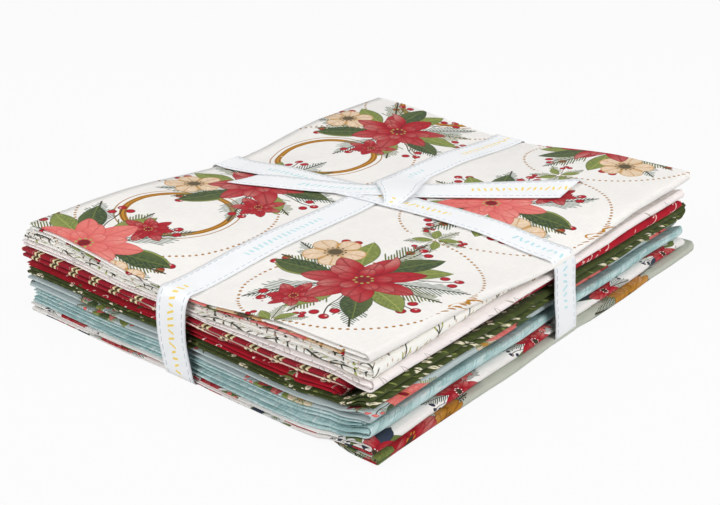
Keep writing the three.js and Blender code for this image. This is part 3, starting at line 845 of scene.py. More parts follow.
class Number:
    """A value that changes over the cloth. Sums and products of it become nodes."""

    def __init__(self, pen, socket):
        self.pen = pen
        self.socket = socket

    def __add__(self, other):
        return self.pen.math("ADD", self, other)

    def __sub__(self, other):
        return self.pen.math("SUBTRACT", self, other)

    def __rsub__(self, other):
        return self.pen.math("SUBTRACT", other, self)

    def __mul__(self, other):
        return self.pen.math("MULTIPLY", self, other)

    def __abs__(self):
        return self.pen.math("ABSOLUTE", self)

    __rmul__ = __mul__

    def fract(self):
        return self.pen.math("FRACT", self)

    def floor(self):
        return self.pen.math("FLOOR", self)

    def sine(self):
        return self.pen.math("SINE", self)

    def above(self, limit):
        return self.pen.math("GREATER_THAN", self, limit)


class Pen:
    """Puts the nodes of one material or world together. Places are millimetres on the flat cloth."""

    def __init__(self, owner, shader="Principled BSDF"):
        """owner is a new material or world, and shader the name of the one that it starts with."""
        owner.use_nodes = True
        self.owner = owner
        self.tree = owner.node_tree
        self.shader = self.tree.nodes[shader]

    def node(self, kind, inputs, **settings):
        node = self.tree.nodes.new(f"ShaderNode{kind}")
        for key, value in settings.items():
            setattr(node, key, value)
        for slot, value in inputs.items():
            self.feed(node.inputs[slot], value)
        return node

    def feed(self, target, value):
        if isinstance(value, Number):
            self.tree.links.new(value.socket, target)
        else:
            target.default_value = value

    def finish(self, inputs, height=None):
        """Sets the shader's inputs, and a bump of this height in millimetres. Returns the owner."""
        if height is not None:
            bump = {"Height": height, "Distance": MM, "Strength": BUMP_STRENGTH}
            inputs = {**inputs, "Normal": self.number("Bump", bump)}
        for name, value in inputs.items():
            self.feed(self.shader.inputs[name], value)
        return self.owner

    def number(self, kind, inputs, output=0, **settings):
        return Number(self, self.node(kind, inputs, **settings).outputs[output])

    def math(self, operation, *values):
        return self.number("Math", dict(enumerate(values)), operation=operation)

    def highest(self, *values):
        return reduce(lambda one, other: self.math("MAXIMUM", one, other), values)

    def lowest(self, *values):
        return reduce(lambda one, other: self.math("MINIMUM", one, other), values)

    def rise(self, value, low, high):
        """0 up to low and 1 from high, with a soft start and end. low may be the higher of the two."""
        inputs = {"Value": value, "From Min": low, "From Max": high}
        return self.number("MapRange", inputs, interpolation_type="SMOOTHSTEP")

    def mix(self, under, ink, share):
        """under where share is 0, ink where it is 1."""
        inputs = {0: share, 6: self.full(under), 7: self.full(ink)}
        return self.number("Mix", inputs, output=2, data_type="RGBA")

    def full(self, colour):
        return colour if isinstance(colour, Number) else (*colour, 1.0)

    def brightened(self, colour, factor):
        return self.number("HueSaturation", {"Color": self.full(colour), "Value": factor})

    def vector(self, x, y):
        return self.number("CombineXYZ", {"X": x, "Y": y})

    def parts(self, vector):
        node = self.node("SeparateXYZ", {0: vector})
        return [Number(self, output) for output in node.outputs]

    def noise(self, spot, size, detail=2.0, stretch=1.0):
        """Soft noise from 0 to 1, with lumps of about this size, longer along X by stretch."""
        place = self.vector(spot.x * (1.0 / stretch), spot.y)
        inputs = {"Vector": place, "Scale": 1.0 / size, "Detail": detail}
        return self.number("TexNoise", inputs, noise_dimensions="2D")

    def draws(self, x, y):
        """Three random shares for each pair of whole numbers."""
        inputs = {"Vector": self.vector(x, y)}
        colour = self.number("TexWhiteNoise", inputs, output=1, noise_dimensions="2D")
        node = self.node("SeparateColor", {0: colour})
        return [Number(self, output) for output in node.outputs]

    def cloth(self):
        """The place on the flat cloth."""
        x, y, _ = self.parts(self.number("UVMap", {}, uv_map="cloth"))
        return Spot(self, x * (1.0 / MM), y * (1.0 / MM))


class Spot:
    """A place measured from the middle of a motif, in millimetres."""

    def __init__(self, pen, x, y):
        self.pen = pen
        self.x = x
        self.y = y

    @cached_property
    def radius(self):
        inputs = {0: self.pen.vector(self.x, self.y)}
        return self.pen.number("VectorMath", inputs, output=1, operation="LENGTH")

    @cached_property
    def angle(self):
        return self.pen.math("ARCTAN2", self.y, self.x)

    def moved(self, x, y):
        """The same place seen from a motif whose middle is at (x, y)."""
        return Spot(self.pen, self.x - x, self.y - y)

    def scaled(self, factor):
        return Spot(self.pen, self.x * factor, self.y * factor)

    def turned(self, angle):
        inputs = {"Vector": self.pen.vector(self.x, self.y), "Angle": angle}
        x, y, _ = self.pen.parts(self.pen.number("VectorRotate", inputs, rotation_type="Z_AXIS"))
        return Spot(self.pen, x, y)

    def sectors(self, count, turn):
        """Folds the place into one of count like sectors round the middle, with +X along its middle."""
        share = self.angle * (count / TURN) + turn
        number = share.floor()
        angle = (share - number - 0.5) * (TURN / count)
        x = self.radius * self.pen.math("COSINE", angle)
        return Spot(self.pen, x, self.radius * angle.sine())

    def scattered(self, pitch, row_pitch, jitter, seed, turned=True, drop=0.5):
        """The place from the middle of its own cell. Each column of cells lies a share higher."""
        pen = self.pen
        column = (self.x * (1.0 / pitch)).floor()
        rows = self.y * (1.0 / row_pitch) + (column * drop).fract()
        row = rows.floor()
        one, other, third = pen.draws(column + seed, row)
        x = self.x - (column + 0.5) * pitch - (one - 0.5) * jitter
        y = (rows - row - 0.5) * row_pitch - (other - 0.5) * jitter
        spot = Spot(pen, x, y)
        return (spot.turned(third * TURN) if turned else spot), (one, other, third)


# ---- motifs ----

PETAL_LIGHT = linear(250, 206, 190)
LEAF_DARK = linear(38, 44, 26)
BERRY_LIGHT = linear(244, 214, 206)

# Steps between veins on petals and leaves, and between the needles of fir.
PETAL_VEINS = 3.1
LEAF_VEINS = 3.0
NEEDLES = 1.9


def petals(pen, under, spot, reach, count, turn, inks, depth, point):
    """One ring of petals. depth is how far the gaps between them reach in, point how blunt they are."""
    ink, shade = inks
    place = spot.angle * (count / TURN) + turn
    number = place.floor()
    one, other, _ = pen.draws(number, reach)
    across = abs(place - number - 0.5) * 2.0
    edge = (1.0 - one * 0.14) * reach - pen.math("POWER", across, point) * (reach * depth)
    inside = edge - spot.radius
    outline = pen.rise(inside, 1.0, 0.3)
    base = pen.rise(spot.radius, reach * 0.8, reach * 0.1)
    gap = pen.rise(across, 0.6, 1.0)
    vein = pen.rise(across, 0.08, 0.02)
    off = across * spot.radius * (math.pi / count)
    side_veins = pen.rise(((spot.radius - off) * (TURN / PETAL_VEINS)).sine(), 0.55, 1.0)
    wash = pen.noise(spot, 2.6, 3.0) * 0.7 - 0.15
    dark = pen.highest(outline * 0.85, base * 0.6, gap * 0.9, vein * 0.75, side_veins * 0.4, wash)
    light = pen.rise(across, 0.8, 0.15) * pen.rise(spot.radius, reach * 0.3, reach * 0.8) * (other * 0.35)
    tone = pen.mix(pen.mix(ink, PETAL_LIGHT, light), shade, dark)
    return pen.mix(under, tone, pen.rise(inside, -0.25, 0.3))


def dots_round(pen, under, spot, radius, count, size, ink):
    """A ring of small dots."""
    share = (spot.angle * (count / TURN)).fract() - 0.5
    along = share * (TURN * radius / count)
    off = Spot(pen, along, spot.radius - radius).radius
    return pen.mix(under, ink, pen.rise(off, size, size * 0.6))


def flower(pen, under, spot, reach, inks, centre, stamens):
    """A full flower: three rings of petals round a centre of small stamens."""
    colour = petals(pen, under, spot, reach, 7, 0.0, inks, 0.48, 1.3)
    colour = petals(pen, colour, spot, reach * 0.74, 6, 0.35, inks, 0.45, 1.4)
    colour = petals(pen, colour, spot, reach * 0.44, 5, 0.8, inks, 0.4, 1.5)
    colour = pen.mix(colour, centre, pen.rise(spot.radius, reach * 0.12, reach * 0.08))
    return dots_round(pen, colour, spot, reach * 0.13, 9, reach * 0.028, stamens)


def blossom(pen, under, spot, reach, inks, centre, stamens):
    """An open blossom with five round petals and a dark middle."""
    colour = petals(pen, under, spot, reach, 5, 0.2, inks, 0.3, 2.6)
    colour = pen.mix(colour, centre, pen.rise(spot.radius, reach * 0.3, reach * 0.16) * 0.9)
    return dots_round(pen, colour, spot, reach * 0.3, 12, reach * 0.045, stamens)


def leaf(pen, under, spot, start, length, width, inks):
    """A pointed leaf along +X from start, with a pale midrib and slanting veins."""
    ink, vein = inks
    share = (spot.x - start) * (1.0 / length)
    half = share * (1.0 - share) * (4.0 * width)
    side = spot.y + share * share * (0.5 * width)
    off = abs(side)
    inside = half - off
    midrib = pen.rise(off, 0.5, 0.12)
    veins = pen.rise(((spot.x - off * 1.3) * (TURN / LEAF_VEINS)).sine(), 0.6, 1.0)
    light = pen.rise(side, -0.2 * width, width)
    wash = pen.rise(pen.noise(spot, 2.2, 3.0), 0.4, 0.7)
    tone = pen.mix(ink, vein, pen.highest(midrib * 0.8, veins * 0.4, light * 0.45, wash * 0.4))
    tone = pen.mix(tone, LEAF_DARK, pen.rise(inside, 0.8, 0.1) * 0.75)
    return pen.mix(under, tone, pen.rise(inside, 0.0, 0.4))


def fir_sprig(pen, under, spot, start, length, reach, ink, stem):
    """A fir sprig along +X: a thin stem with slanting needles, shorter towards the tip."""
    share = (spot.x - start) * (1.0 / length)
    off = abs(spot.y)
    place = (spot.x - off * 1.15) * (1.0 / NEEDLES)
    number = place.floor()
    one, other, _ = pen.draws(number, spot.y.above(0.0))
    envelope = share * (1.0 - share) * (one * 0.7 + 0.6) * (4.4 * reach)
    line = pen.rise(abs(place - number - 0.5), 0.36, 0.16)
    needles = line * pen.rise(envelope - off, 0.0, 0.9)
    colour = pen.mix(under, pen.mix(ink, stem, other * 0.5), needles)
    twig = pen.rise(off, 0.6, 0.25) * pen.rise(share * (1.0 - share), 0.0, 0.02)
    return pen.mix(colour, stem, twig)


def berries(pen, under, spot, radius, size, inks, stem):
    """Three berries round (radius, 0) on thin stems from the middle."""
    ink, shade = inks
    twig = pen.rise(abs(spot.y + (spot.x * (TURN / 26.0)).sine() * 0.8), 0.42, 0.18)
    twig = twig * pen.rise(spot.x, radius, radius - 1.0) * pen.rise(spot.x, 4.0, 5.0)
    colour = pen.mix(under, stem, twig)
    first = spot.moved(radius, 0.4)
    placed = (first, spot.moved(radius - 5.6, 3.0), spot.moved(radius - 2.6, -4.4))
    near = pen.lowest(*(berry.radius for berry in placed))
    tone = pen.mix(ink, shade, pen.rise(near, size * 0.3, size))
    tone = pen.mix(tone, BERRY_LIGHT, pen.rise(first.moved(-0.7, 0.7).radius, 0.8, 0.3) * 0.7)
    return pen.mix(colour, tone, pen.rise(near, size, size - 0.4))


def curl(pen, spot, radius, width, turns):
    """How much of a thin arc of a circle is at the place: it covers this share of the way round."""
    line = pen.rise(abs(spot.radius - radius), width, width * 0.4)
    return line * pen.rise(spot.angle * (1.0 / TURN) + 0.5, turns, turns - 0.04)


def bouquet(pen, under, spot, draws, inks):
    """A large flower over leaves, fir and berries, with a blossom beside it. It reaches 46 mm out."""
    sector = spot.sectors(5, 0.15)
    colour = fir_sprig(pen, under, sector, 12.0, 35.0, 6.5, inks["fir"], inks["stem"])
    sector = spot.sectors(7, 0.3)
    colour = berries(pen, colour, sector, 40.0, 2.3, inks["berry"], inks["stem"])
    sector = spot.sectors(4, 0.62)
    colour = fir_sprig(pen, colour, sector, 10.0, 32.0, 6.0, inks["young_fir"], inks["stem"])
    sector = spot.sectors(5, 0.68)
    colour = leaf(pen, colour, sector, 11.0, 28.0, 6.0, inks["leaf"])
    sector = spot.sectors(3, 0.1).turned(0.3)
    colour = leaf(pen, colour, sector, 10.0, 31.0, 6.5, inks["dark_leaf"])
    small = spot.moved(25.0, -14.0)
    colour = flower(pen, colour, small, 13.5, inks["small_flower"], inks["deep"], inks["stamen"])
    small = spot.moved(-20.0, -22.0)
    colour = blossom(pen, colour, small, 15.0, inks["blossom"], inks["middle"], inks["stem"])
    chosen = draws[0].above(0.5)
    petal = pen.mix(inks["flower"][0], inks["other_flower"][0], chosen)
    shade = pen.mix(inks["flower"][1], inks["other_flower"][1], chosen)
    return flower(pen, colour, spot.moved(0.0, 3.0), 28.0, (petal, shade), inks["deep"], inks["stamen"])


def spray(pen, under, spot, inks):
    """A small spray of young leaves, fir and berries. It reaches 19 mm out."""
    near = spot.scaled(1.9)
    sector = near.sectors(5, 0.4)
    colour = fir_sprig(pen, under, sector, 2.0, 30.0, 6.0, inks["young_fir"], inks["stem"])
    sector = near.sectors(3, 0.3)
    colour = berries(pen, colour, sector, 28.0, 3.4, inks["berry"], inks["stem"])
    return leaf(pen, colour, near.sectors(4, 0.1), 2.0, 22.0, 5.0, inks["leaf"])


def gold_ring(pen, under, ring, ink, shade):
    """A plain gold ring with a fine one round it, arcs of small gold dots and a four-lobed outline."""
    colour = under
    dot_ink = pen.mix(ink, shade, 0.5)
    for radius, half in ((28.0, 2.1), (32.5, 0.55)):
        band = abs(ring.radius - radius)
        tone = pen.mix(ink, shade, pen.rise(abs(band - half * 0.5), half * 0.3, 0.1))
        colour = pen.mix(colour, tone, pen.rise(band, half, half - 0.4))
    lobes = ring.moved(62.0, -2.0)
    line = abs(lobes.radius - (lobes.angle * 4.0).sine() * 2.4 - 6.4)
    colour = pen.mix(colour, ink, pen.rise(line, 0.9, 0.45))
    colour = pen.mix(colour, ink, pen.rise(lobes.radius, 2.0, 1.6))
    for radius, x, y in ((52.0, 0.0, 0.0), (58.0, 124.0, 0.0), (40.0, -124.0, 22.0)):
        count = round(TURN * radius / 3.3)
        colour = dots_round(pen, colour, ring.moved(x, y), radius, count, 1.0, dot_ink)
    return colour


# ---- the prints ----


def bouquet_inks(c, **changes):
    """The main print's inks, with changes for another print. Pairs are an ink and its shade or veins."""
    inks = {
        "flower": (c.crimson, c.deep_red), "other_flower": (c.salmon, c.rose),
        "small_flower": (c.crimson, c.deep_red), "blossom": (c.blossom, c.gold),
        "leaf": (c.leaf_green, c.spring_green), "dark_leaf": (c.pine_green, c.leaf_green),
        "fir": c.mist_green, "young_fir": c.leaf_green, "berry": (c.crimson, c.deep_red),
        "stem": c.stem_ink, "middle": c.stem_ink, "deep": c.deep_red, "stamen": c.spring_green,
    }
    return {**inks, **changes}


def main_print(pen, place, c):
    """Large bouquets, gold rings between every other pair of them, and sprays in the gaps."""
    inks = bouquet_inks(c)
    ring, _ = place.moved(62.0, 0.0).scattered(248.0, 118.0, 0.0, 3.0, turned=False, drop=0.0)
    colour = gold_ring(pen, c.main_ground, ring, c.gold, c.deep_gold)
    between, _ = place.moved(-62.0, 59.0).scattered(248.0, 118.0, 4.0, 17.0, drop=0.0)
    colour = spray(pen, colour, between, inks)
    spot, draws = place.scattered(124.0, 118.0, 5.0, 11.0)
    return bouquet(pen, colour, spot.scaled(0.86), draws, inks)


def grey_blue_print(pen, place, c):
    inks = bouquet_inks(
        c, flower=(c.rose, c.deep_red), blossom=(c.blossom, c.leaf_green), fir=c.leaf_green,
        young_fir=c.spring_green, berry=(c.salmon, c.rose), middle=c.gold, stamen=c.gold,
    )
    spot, draws = place.scattered(58.0, 80.0, 4.0, 5.0)
    return bouquet(pen, c.grey_blue_ground, spot.scaled(1.8), draws, inks)


def white_print(pen, place, c):
    inks = bouquet_inks(
        c, other_flower=(c.crimson, c.deep_red), small_flower=(c.salmon, c.crimson),
        blossom=(c.white_ground, c.grey_blue_ground), leaf=(c.leaf_green, c.pine_green),
        dark_leaf=(c.navy, c.pine_green), fir=c.pine_green, berry=(c.navy, c.stem_ink),
        middle=c.leaf_green, deep=c.stem_ink, stamen=c.white_ground,
    )
    spot, draws = place.scattered(50.0, 66.0, 4.0, 8.0)
    return bouquet(pen, c.white_ground, spot.scaled(1.9), draws, inks)


def sage_print(pen, place, c):
    inks = bouquet_inks(
        c, flower=(c.gold, c.deep_gold), other_flower=(c.crimson, c.deep_red),
        blossom=(c.gold, c.deep_gold), leaf=(c.leaf_green, c.pine_green),
        dark_leaf=(c.pine_green, c.stem_ink), fir=c.pine_green, berry=(c.gold, c.deep_gold),
        middle=c.deep_red, deep=c.stem_ink, stamen=c.gold,
    )
    spot, draws = place.scattered(118.0, 196.0, 6.0, 2.0)
    return bouquet(pen, c.sage_ground, spot.scaled(1.15), draws, inks)


STEM_PITCH = 12.5
TWIG_STEP = 5.4
PLAID_REPEAT = 15.3


def stem_print(pen, place, c):
    """Thin curved stems with short slanting twigs and small buds, over small specks."""
    curved = place.y + (place.x * (TURN / 41.0)).sine() * 2.2
    rows = curved * (1.0 / STEM_PITCH)
    row = rows.floor()
    y = (rows - row - 0.5) * STEM_PITCH
    off = abs(y)
    steps = (place.x - off * 0.9 + row * 3.7) * (1.0 / TWIG_STEP)
    step = steps.floor()
    x = (steps - step - 0.5) * TWIG_STEP
    one, other, third = pen.draws(step, row)
    reach = one * 2.6 + 1.6
    twig = pen.rise(abs(x), 0.5, 0.25) * pen.rise(off - reach, 0.3, 0.0)
    stem = pen.rise(off, 0.62, 0.3)
    bud = pen.rise(Spot(pen, x, off - reach).radius, 1.0, 0.6)
    colour = pen.mix(c.stem_ground, c.stem_ink, pen.highest(twig, stem) * pen.rise(third, 0.1, 0.2))
    bud_ink = pen.mix(c.stem_ink, c.spring_green, other.above(0.6))
    colour = pen.mix(colour, bud_ink, bud * third.above(0.3))
    speck, _ = place.scattered(5.2, 4.7, 2.5, 6.0, turned=False)
    return pen.mix(colour, c.blossom_shade, pen.rise(speck.radius, 0.7, 0.4) * 0.8)


def cream_print(pen, place, c):
    """Tone on tone: faint sprays of small leaves, and now and then a darker one."""
    spot, _ = place.scattered(19.0, 17.0, 3.0, 4.0)
    sector = spot.sectors(5, 0.2)
    faint = pen.mix(c.cream_ground, c.cream_shade, 0.4)
    colour = leaf(pen, c.cream_ground, sector, 1.5, 6.0, 1.5, (faint, c.cream_ground))
    arc = curl(pen, spot.moved(3.0, 2.0), 4.5, 0.45, 0.6)
    colour = pen.mix(colour, c.cream_shade, arc * 0.12)
    mark, _ = place.scattered(61.0, 47.0, 20.0, 9.0)
    return leaf(pen, colour, mark, -2.5, 5.0, 0.9, (c.blossom_shade, c.cream_shade))


def stripes(pen, under, place, rows):
    """Lines across one way of a plaid: each row is (start, end, ink, strength) in one repeat."""
    share = (place * (1.0 / PLAID_REPEAT)).fract() * PLAID_REPEAT
    colour = under
    for start, end, ink, strength in rows:
        half = (end - start) / 2.0
        line = pen.rise(abs(share - (start + half)), half + 0.08, half - 0.08)
        colour = pen.mix(colour, ink, line * strength)
    return colour


def plaid_print(pen, place, c):
    """Broad dark stripes with pale edges one way, and fine pale lines the other."""
    rows = (
        (7.1, 8.6, c.plaid_pale, 0.95), (8.6, 10.4, c.plaid_dark, 0.9), (10.4, 11.9, c.plaid_pale, 0.95),
        (13.2, 13.6, c.plaid_line, 0.3),
    )
    colour = stripes(pen, c.plaid_ground, place.x, rows)
    rows = (
        (0.2, 0.8, c.plaid_line, 0.85), (8.2, 9.0, c.plaid_line, 0.95), (9.9, 10.5, c.plaid_line, 0.85),
        (11.4, 12.2, c.plaid_line, 0.95), (13.2, 13.7, c.plaid_pale, 0.8),
    )
    return stripes(pen, colour, place.y, rows)


def red_print(pen, place, c):
    """Fine pale curls, dots and a few olive marks on crimson."""
    tone = pen.rise(pen.noise(place, 9.0), 0.35, 0.7)
    colour = pen.mix(c.red_ground, c.deep_red, tone * 0.35)
    spot, draws = place.scattered(15.5, 13.5, 4.0, 7.0)
    arcs = pen.highest(
        curl(pen, spot, 3.4, 0.6, 0.5),
        curl(pen, spot.moved(1.6, 0.4), 1.6, 0.5, 0.7),
        curl(pen, spot.moved(-4.4, 1.4).turned(2.0), 1.6, 0.5, 0.6),
    )
    colour = pen.mix(colour, c.curl_ink, arcs * draws[1].above(0.4))
    colour = pen.mix(colour, c.curl_ink, pen.rise(spot.moved(4.6, 3.6).radius, 0.9, 0.5))
    mark, _ = place.scattered(33.0, 27.0, 12.0, 12.0)
    return leaf(pen, colour, mark, -5.0, 10.0, 1.8, (c.leaf_green, c.plaid_dark))


def olive_print(pen, place, c):
    """Groups of small cream flowers and young leaves on dark olive, over leaves a tone lighter."""
    spot, _ = place.scattered(13.0, 12.0, 4.0, 21.0)
    sector = spot.sectors(4, 0.4)
    colour = leaf(pen, c.olive_ground, sector, 1.0, 6.5, 1.7, (c.olive_tone, c.olive_ground))
    group, _ = place.scattered(16.0, 13.5, 5.0, 15.0)
    sector = group.sectors(3, 0.2)
    colour = leaf(pen, colour, sector, 2.2, 3.8, 0.9, (c.spring_green, c.leaf_green))
    petal_inks = (c.sprig_ink, c.sprig_ink)
    for x, y, reach in ((2.0, 0.8, 1.9), (-1.9, -0.9, 1.5), (0.4, 3.4, 1.0)):
        colour = blossom(pen, colour, group.moved(x, y), reach, petal_inks, c.leaf_green, c.gold)
    return colour


def aqua_print(pen, place, ground, c):
    """A blender: soft blots under brushed strokes both ways."""
    blots = pen.rise(pen.noise(place, 14.0, 3.0), 0.35, 0.7)
    colour = pen.mix(ground, c.aqua_shade, blots * 0.4)
    across = Spot(pen, place.y, place.x)
    strokes = pen.rise(pen.noise(place, 1.2, 2.0, 9.0), 0.5, 0.66)
    colour = pen.mix(colour, c.aqua_shade, strokes * 0.65)
    strokes = pen.rise(pen.noise(across, 1.2, 2.0, 9.0), 0.5, 0.66)
    colour = pen.mix(colour, c.aqua_shade, strokes * 0.5)
    pale = pen.rise(pen.noise(across, 1.4, 2.0, 6.0), 0.56, 0.72)
    return pen.mix(colour, c.white_ground, pale * 0.35)


def aqua_upper_print(pen, place, c):
    return aqua_print(pen, place, c.aqua_upper_ground, c)


def aqua_lower_print(pen, place, c):
    return aqua_print(pen, place, c.aqua_lower_ground, c)


PRINTS = {
    "sage_floral": sage_print,
    "white_bloom": white_print,
    "aqua_lower": aqua_lower_print,
    "aqua_upper": aqua_upper_print,
    "grey_blue_floral": grey_blue_print,
    "olive_sprig": olive_print,
    "red_curl": red_print,
    "plaid": plaid_print,
    "cream_tonal": cream_print,
    "fine_stem": stem_print,
    "main_floral": main_print,
}

# How far a print is moved on its cloth, in millimetres.
PRINT_OFFSETS = {
    "main_floral": (-68.1, 23.2),
    "sage_floral": (45.1, 65.8),
    "white_bloom": (15.4, 3.6),
    "grey_blue_floral": (22.1, 38.4),
}

# The weave of the cotton: its threads, the thick places in them, and soft ripples of the cloth.
THREAD_PITCH = 0.42
THREAD_HEIGHT = 0.012
SLUB_SIZE = 0.8
SLUB_STRETCH = 8.0
RIPPLE_SIZE = 24.0
RIPPLE_HEIGHT = 0.5

# The ribbon: its stitches, its marks in one colour for half of their repeat each, and its cross ribs.
STITCH_STEP = 4.0
STITCH_FROM_EDGE = 2.3
MARK_STEP = 3.4
MARK_REPEAT = 192.0
RIB_PITCH = 0.45


def cotton(name, print_on, offset, colours):
    """Printed plain-weave cotton: the print, toned by threads and slubs, on a soft matt weave."""
    pen = Pen(bpy.data.materials.new(name))
    cloth = pen.cloth()
    colour = print_on(pen, cloth.moved(*offset), colours)
    warp = (cloth.x * (TURN / THREAD_PITCH)).sine()
    weft = (cloth.y * (TURN / THREAD_PITCH)).sine()
    weave = warp * weft
    slubs = pen.noise(cloth, SLUB_SIZE, 2.0, SLUB_STRETCH)
    slubs = slubs + pen.noise(Spot(pen, cloth.y, cloth.x), SLUB_SIZE, 2.0, SLUB_STRETCH)
    soft = pen.noise(cloth, RIPPLE_SIZE)
    tone = weave * 0.03 + slubs * 0.1 + soft * 0.08 + 0.86
    inputs = {
        "Base Color": pen.brightened(colour, tone), "Roughness": slubs * 0.06 + 0.82,
        "Specular IOR Level": 0.25, "Sheen Weight": 0.06, "Sheen Roughness": 0.45,
    }
    height = weave * THREAD_HEIGHT + slubs * (THREAD_HEIGHT * 2.0) + soft * RIPPLE_HEIGHT
    return pen.finish(inputs, height)


def satin(colours, width):
    """Woven satin ribbon: fine cross ribs, stitched edges and short slanting marks along the middle."""
    pen = Pen(bpy.data.materials.new("white_satin_ribbon"))
    place = pen.cloth()
    from_edge = pen.lowest(place.x, width - place.x)
    dash = pen.rise(abs((place.y * (1.0 / STITCH_STEP)).fract() - 0.5), 0.34, 0.3)
    stitch = pen.rise(abs(from_edge - STITCH_FROM_EDGE), 0.3, 0.15) * dash
    colour = pen.mix(colours.ribbon_white, colours.ribbon_stitch, stitch)
    band = (place.y * (2.0 / MARK_REPEAT)).fract()
    within = pen.rise(abs(band - 0.5), 0.3, 0.29)
    step = place.y * (1.0 / MARK_STEP)
    number = step.floor()
    one, other, _ = pen.draws(number, 0.0)
    across = place.x - width / 2.0
    along = (step - number - 0.5) * MARK_STEP + across * (0.5 - one)
    mark = pen.rise(abs(along), 0.75, 0.45) * pen.rise(abs(across), other * 0.9 + 1.5, other * 0.9 + 1.1)
    second_half = (place.y * (1.0 / MARK_REPEAT)).fract().above(0.5)
    ink = pen.mix(colours.ribbon_yellow, colours.ribbon_aqua, second_half)
    colour = pen.mix(colour, ink, mark * within * 0.9)
    selvage = pen.rise(from_edge, 0.9, 0.5)
    colour = pen.mix(colour, colours.ribbon_stitch, selvage * 0.15)
    soft = pen.noise(place, 18.0)
    inputs = {
        "Base Color": pen.brightened(colour, soft * 0.06 + 0.96), "Roughness": soft * 0.1 + 0.42,
        "Specular IOR Level": 0.4, "Sheen Weight": 0.1,
    }
    ribs = (place.y * (TURN / RIB_PITCH)).sine()
    height = ribs * 0.006 + selvage * 0.05 - stitch * 0.08 + soft * 0.4
    return pen.finish(inputs, height)


# ---- operators ----

# The lamps' places and width, and how far the floor reaches to every side, in metres. The camera sees
# the floor FLOOR_GLOW as plain white.
KEY_PLACE = (1.25, 0.22, 1.02)
FRONT_PLACE = (-0.58, -1.33, 1.02)
TOP_PLACE = (0.0, 0.4, 1.5)
LAMP_SIZE = 1.2
FLOOR_REACH = 3.0
FLOOR_GLOW = 0.93
WHITE = (1.0, 1.0, 1.0, 1.0)


def lamp(name, power, place, aim):
    """A large square lamp that shines at the aim."""
    data = bpy.data.lights.new(name, "AREA")
    data.energy = power
    data.size = LAMP_SIZE
    light = placed(name, data)
    light.location = place
    light.rotation_euler = (Vector(place) - Vector(aim)).to_track_quat("Z", "Y").to_euler()


def seen_directly(pen):
    """1 for what the camera sees, also in a mirror or through glass."""
    node = pen.node("LightPath", {})
    rays = ("Is Camera Ray", "Is Glossy Ray", "Is Transmission Ray")
    return pen.highest(*(Number(pen, node.outputs[name]) for name in rays))


def white_floor():
    """A pale matt floor that shows nearly white and keeps a faint shadow."""
    pen = Pen(bpy.data.materials.new("white_floor"))
    x, y, _ = pen.parts(pen.number("TexCoord", {}, output=3))
    colour = pen.mix((0.6, 0.6, 0.6), (0.64, 0.64, 0.64), pen.noise(Spot(pen, x, y), 0.4))
    pen.finish({"Base Color": colour, "Roughness": 0.9})
    glow = pen.node("Emission", {"Color": WHITE, "Strength": 1.0})
    blend = pen.node("MixShader", {0: seen_directly(pen) * FLOOR_GLOW})
    pen.tree.links.new(pen.shader.outputs[0], blend.inputs[1])
    pen.tree.links.new(glow.outputs[0], blend.inputs[2])
    pen.tree.links.new(blend.outputs[0], pen.tree.nodes["Material Output"].inputs["Surface"])
    return pen.owner


class BUNDLE_OT_stage(Operator):
    """Sets up the camera, the soft studio light and the pale floor"""

    bl_idname = "bundle.stage"
    bl_label = "Set the stage"

    def execute(self, context):
        scene = context.scene
        stage = scene.bundle_stage
        camera = placed("camera", bpy.data.cameras.new("camera"))
        camera.data.lens = stage.lens
        scene.camera = camera
        level = math.cos(stage.elevation)
        back = Vector((
            level * math.sin(stage.azimuth), -level * math.cos(stage.azimuth), math.sin(stage.elevation)
        ))
        aim = Vector(stage.aim)
        camera.location = aim + back * stage.distance
        camera.rotation_euler = back.to_track_quat("Z", "Y").to_euler()
        scene.view_settings.view_transform = "Standard"

        scene.world = bpy.data.worlds.new("studio")
        pen = Pen(scene.world, "Background")
        pen.finish({"Color": WHITE, "Strength": seen_directly(pen) * (1.0 - stage.sky) + stage.sky})
        lamp("key_light", stage.key_power, KEY_PLACE, aim)
        lamp("front_light", stage.front_power, FRONT_PLACE, aim)
        lamp("top_light", stage.top_power, TOP_PLACE, aim)

        shell = bmesh.new()
        bmesh.ops.create_grid(shell, x_segments=1, y_segments=1, size=FLOOR_REACH)
        floor = placed("floor", mesh_of("floor", shell))
        floor.data.materials.append(white_floor())
        return {"FINISHED"}


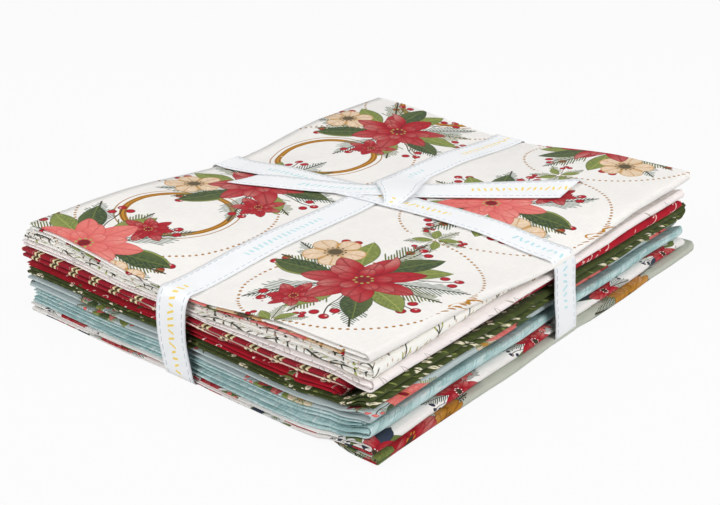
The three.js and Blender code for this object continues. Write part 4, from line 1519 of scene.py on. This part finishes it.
class BUNDLE_OT_cuts(Operator):
    """Folds and prints the eleven cuts of cotton, each lying on the one before"""

    bl_idname = "bundle.cuts"
    bl_label = "Fold the cuts"

    def execute(self, context):
        stack = Stack(context.scene.bundle_sizes)
        colours = context.scene.bundle_colours
        for number, cut in enumerate(CUTS):
            name = cut["name"]
            folded = FoldedCut(number, stack)
            piece = folded.make()
            offset = PRINT_OFFSETS.get(name, (0.0, 0.0))
            piece.data.materials.append(cotton(f"{name}_print", PRINTS[name], offset, colours))
            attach(piece, "root")
            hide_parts(f"cut_{name}")
        return {"FINISHED"}


class BUNDLE_OT_ribbon(Operator):
    """Ties the satin ribbon round the stack"""

    bl_idname = "bundle.ribbon"
    bl_label = "Tie the ribbon"

    def execute(self, context):
        sizes = context.scene.bundle_sizes
        ribbon = Ribbon(Stack(sizes), sizes)
        piece, length = ribbon.make()
        piece.data.materials.append(satin(context.scene.bundle_colours, ribbon.width))
        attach(piece, "root")
        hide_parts("ribbon_tie")
        return {"FINISHED"}


class BUNDLE_PT_panel(Panel):
    """The bundle's settings and steps"""

    bl_label = "Fabric Bundle"
    bl_idname = "BUNDLE_PT_panel"
    bl_space_type = "VIEW_3D"
    bl_region_type = "UI"
    bl_category = "Fabric Bundle"

    def draw(self, context):
        layout = self.layout
        for operator in OPERATORS:
            layout.operator(operator.bl_idname)
        for group_name, group in GROUPS.items():
            box = layout.box()
            box.label(text=group.__doc__)
            for name in group.__annotations__:
                box.prop(getattr(context.scene, group_name), name)


OPERATORS = (BUNDLE_OT_stage, BUNDLE_OT_cuts, BUNDLE_OT_ribbon)
GROUPS = {"bundle_stage": BundleStage, "bundle_sizes": BundleSizes, "bundle_colours": ClothColours}
CLASSES = (*GROUPS.values(), *OPERATORS, BUNDLE_PT_panel)


def register():
    for item in CLASSES:
        bpy.utils.register_class(item)
    for name, group in GROUPS.items():
        setattr(bpy.types.Scene, name, PointerProperty(type=group))


def unregister():
    for name in GROUPS:
        delattr(bpy.types.Scene, name)
    for item in reversed(CLASSES):
        bpy.utils.unregister_class(item)


def main():
    register()
    bpy.ops.bundle.stage()
    bpy.ops.bundle.cuts()
    bpy.ops.bundle.ribbon()


if __name__ == "__main__":
    main()
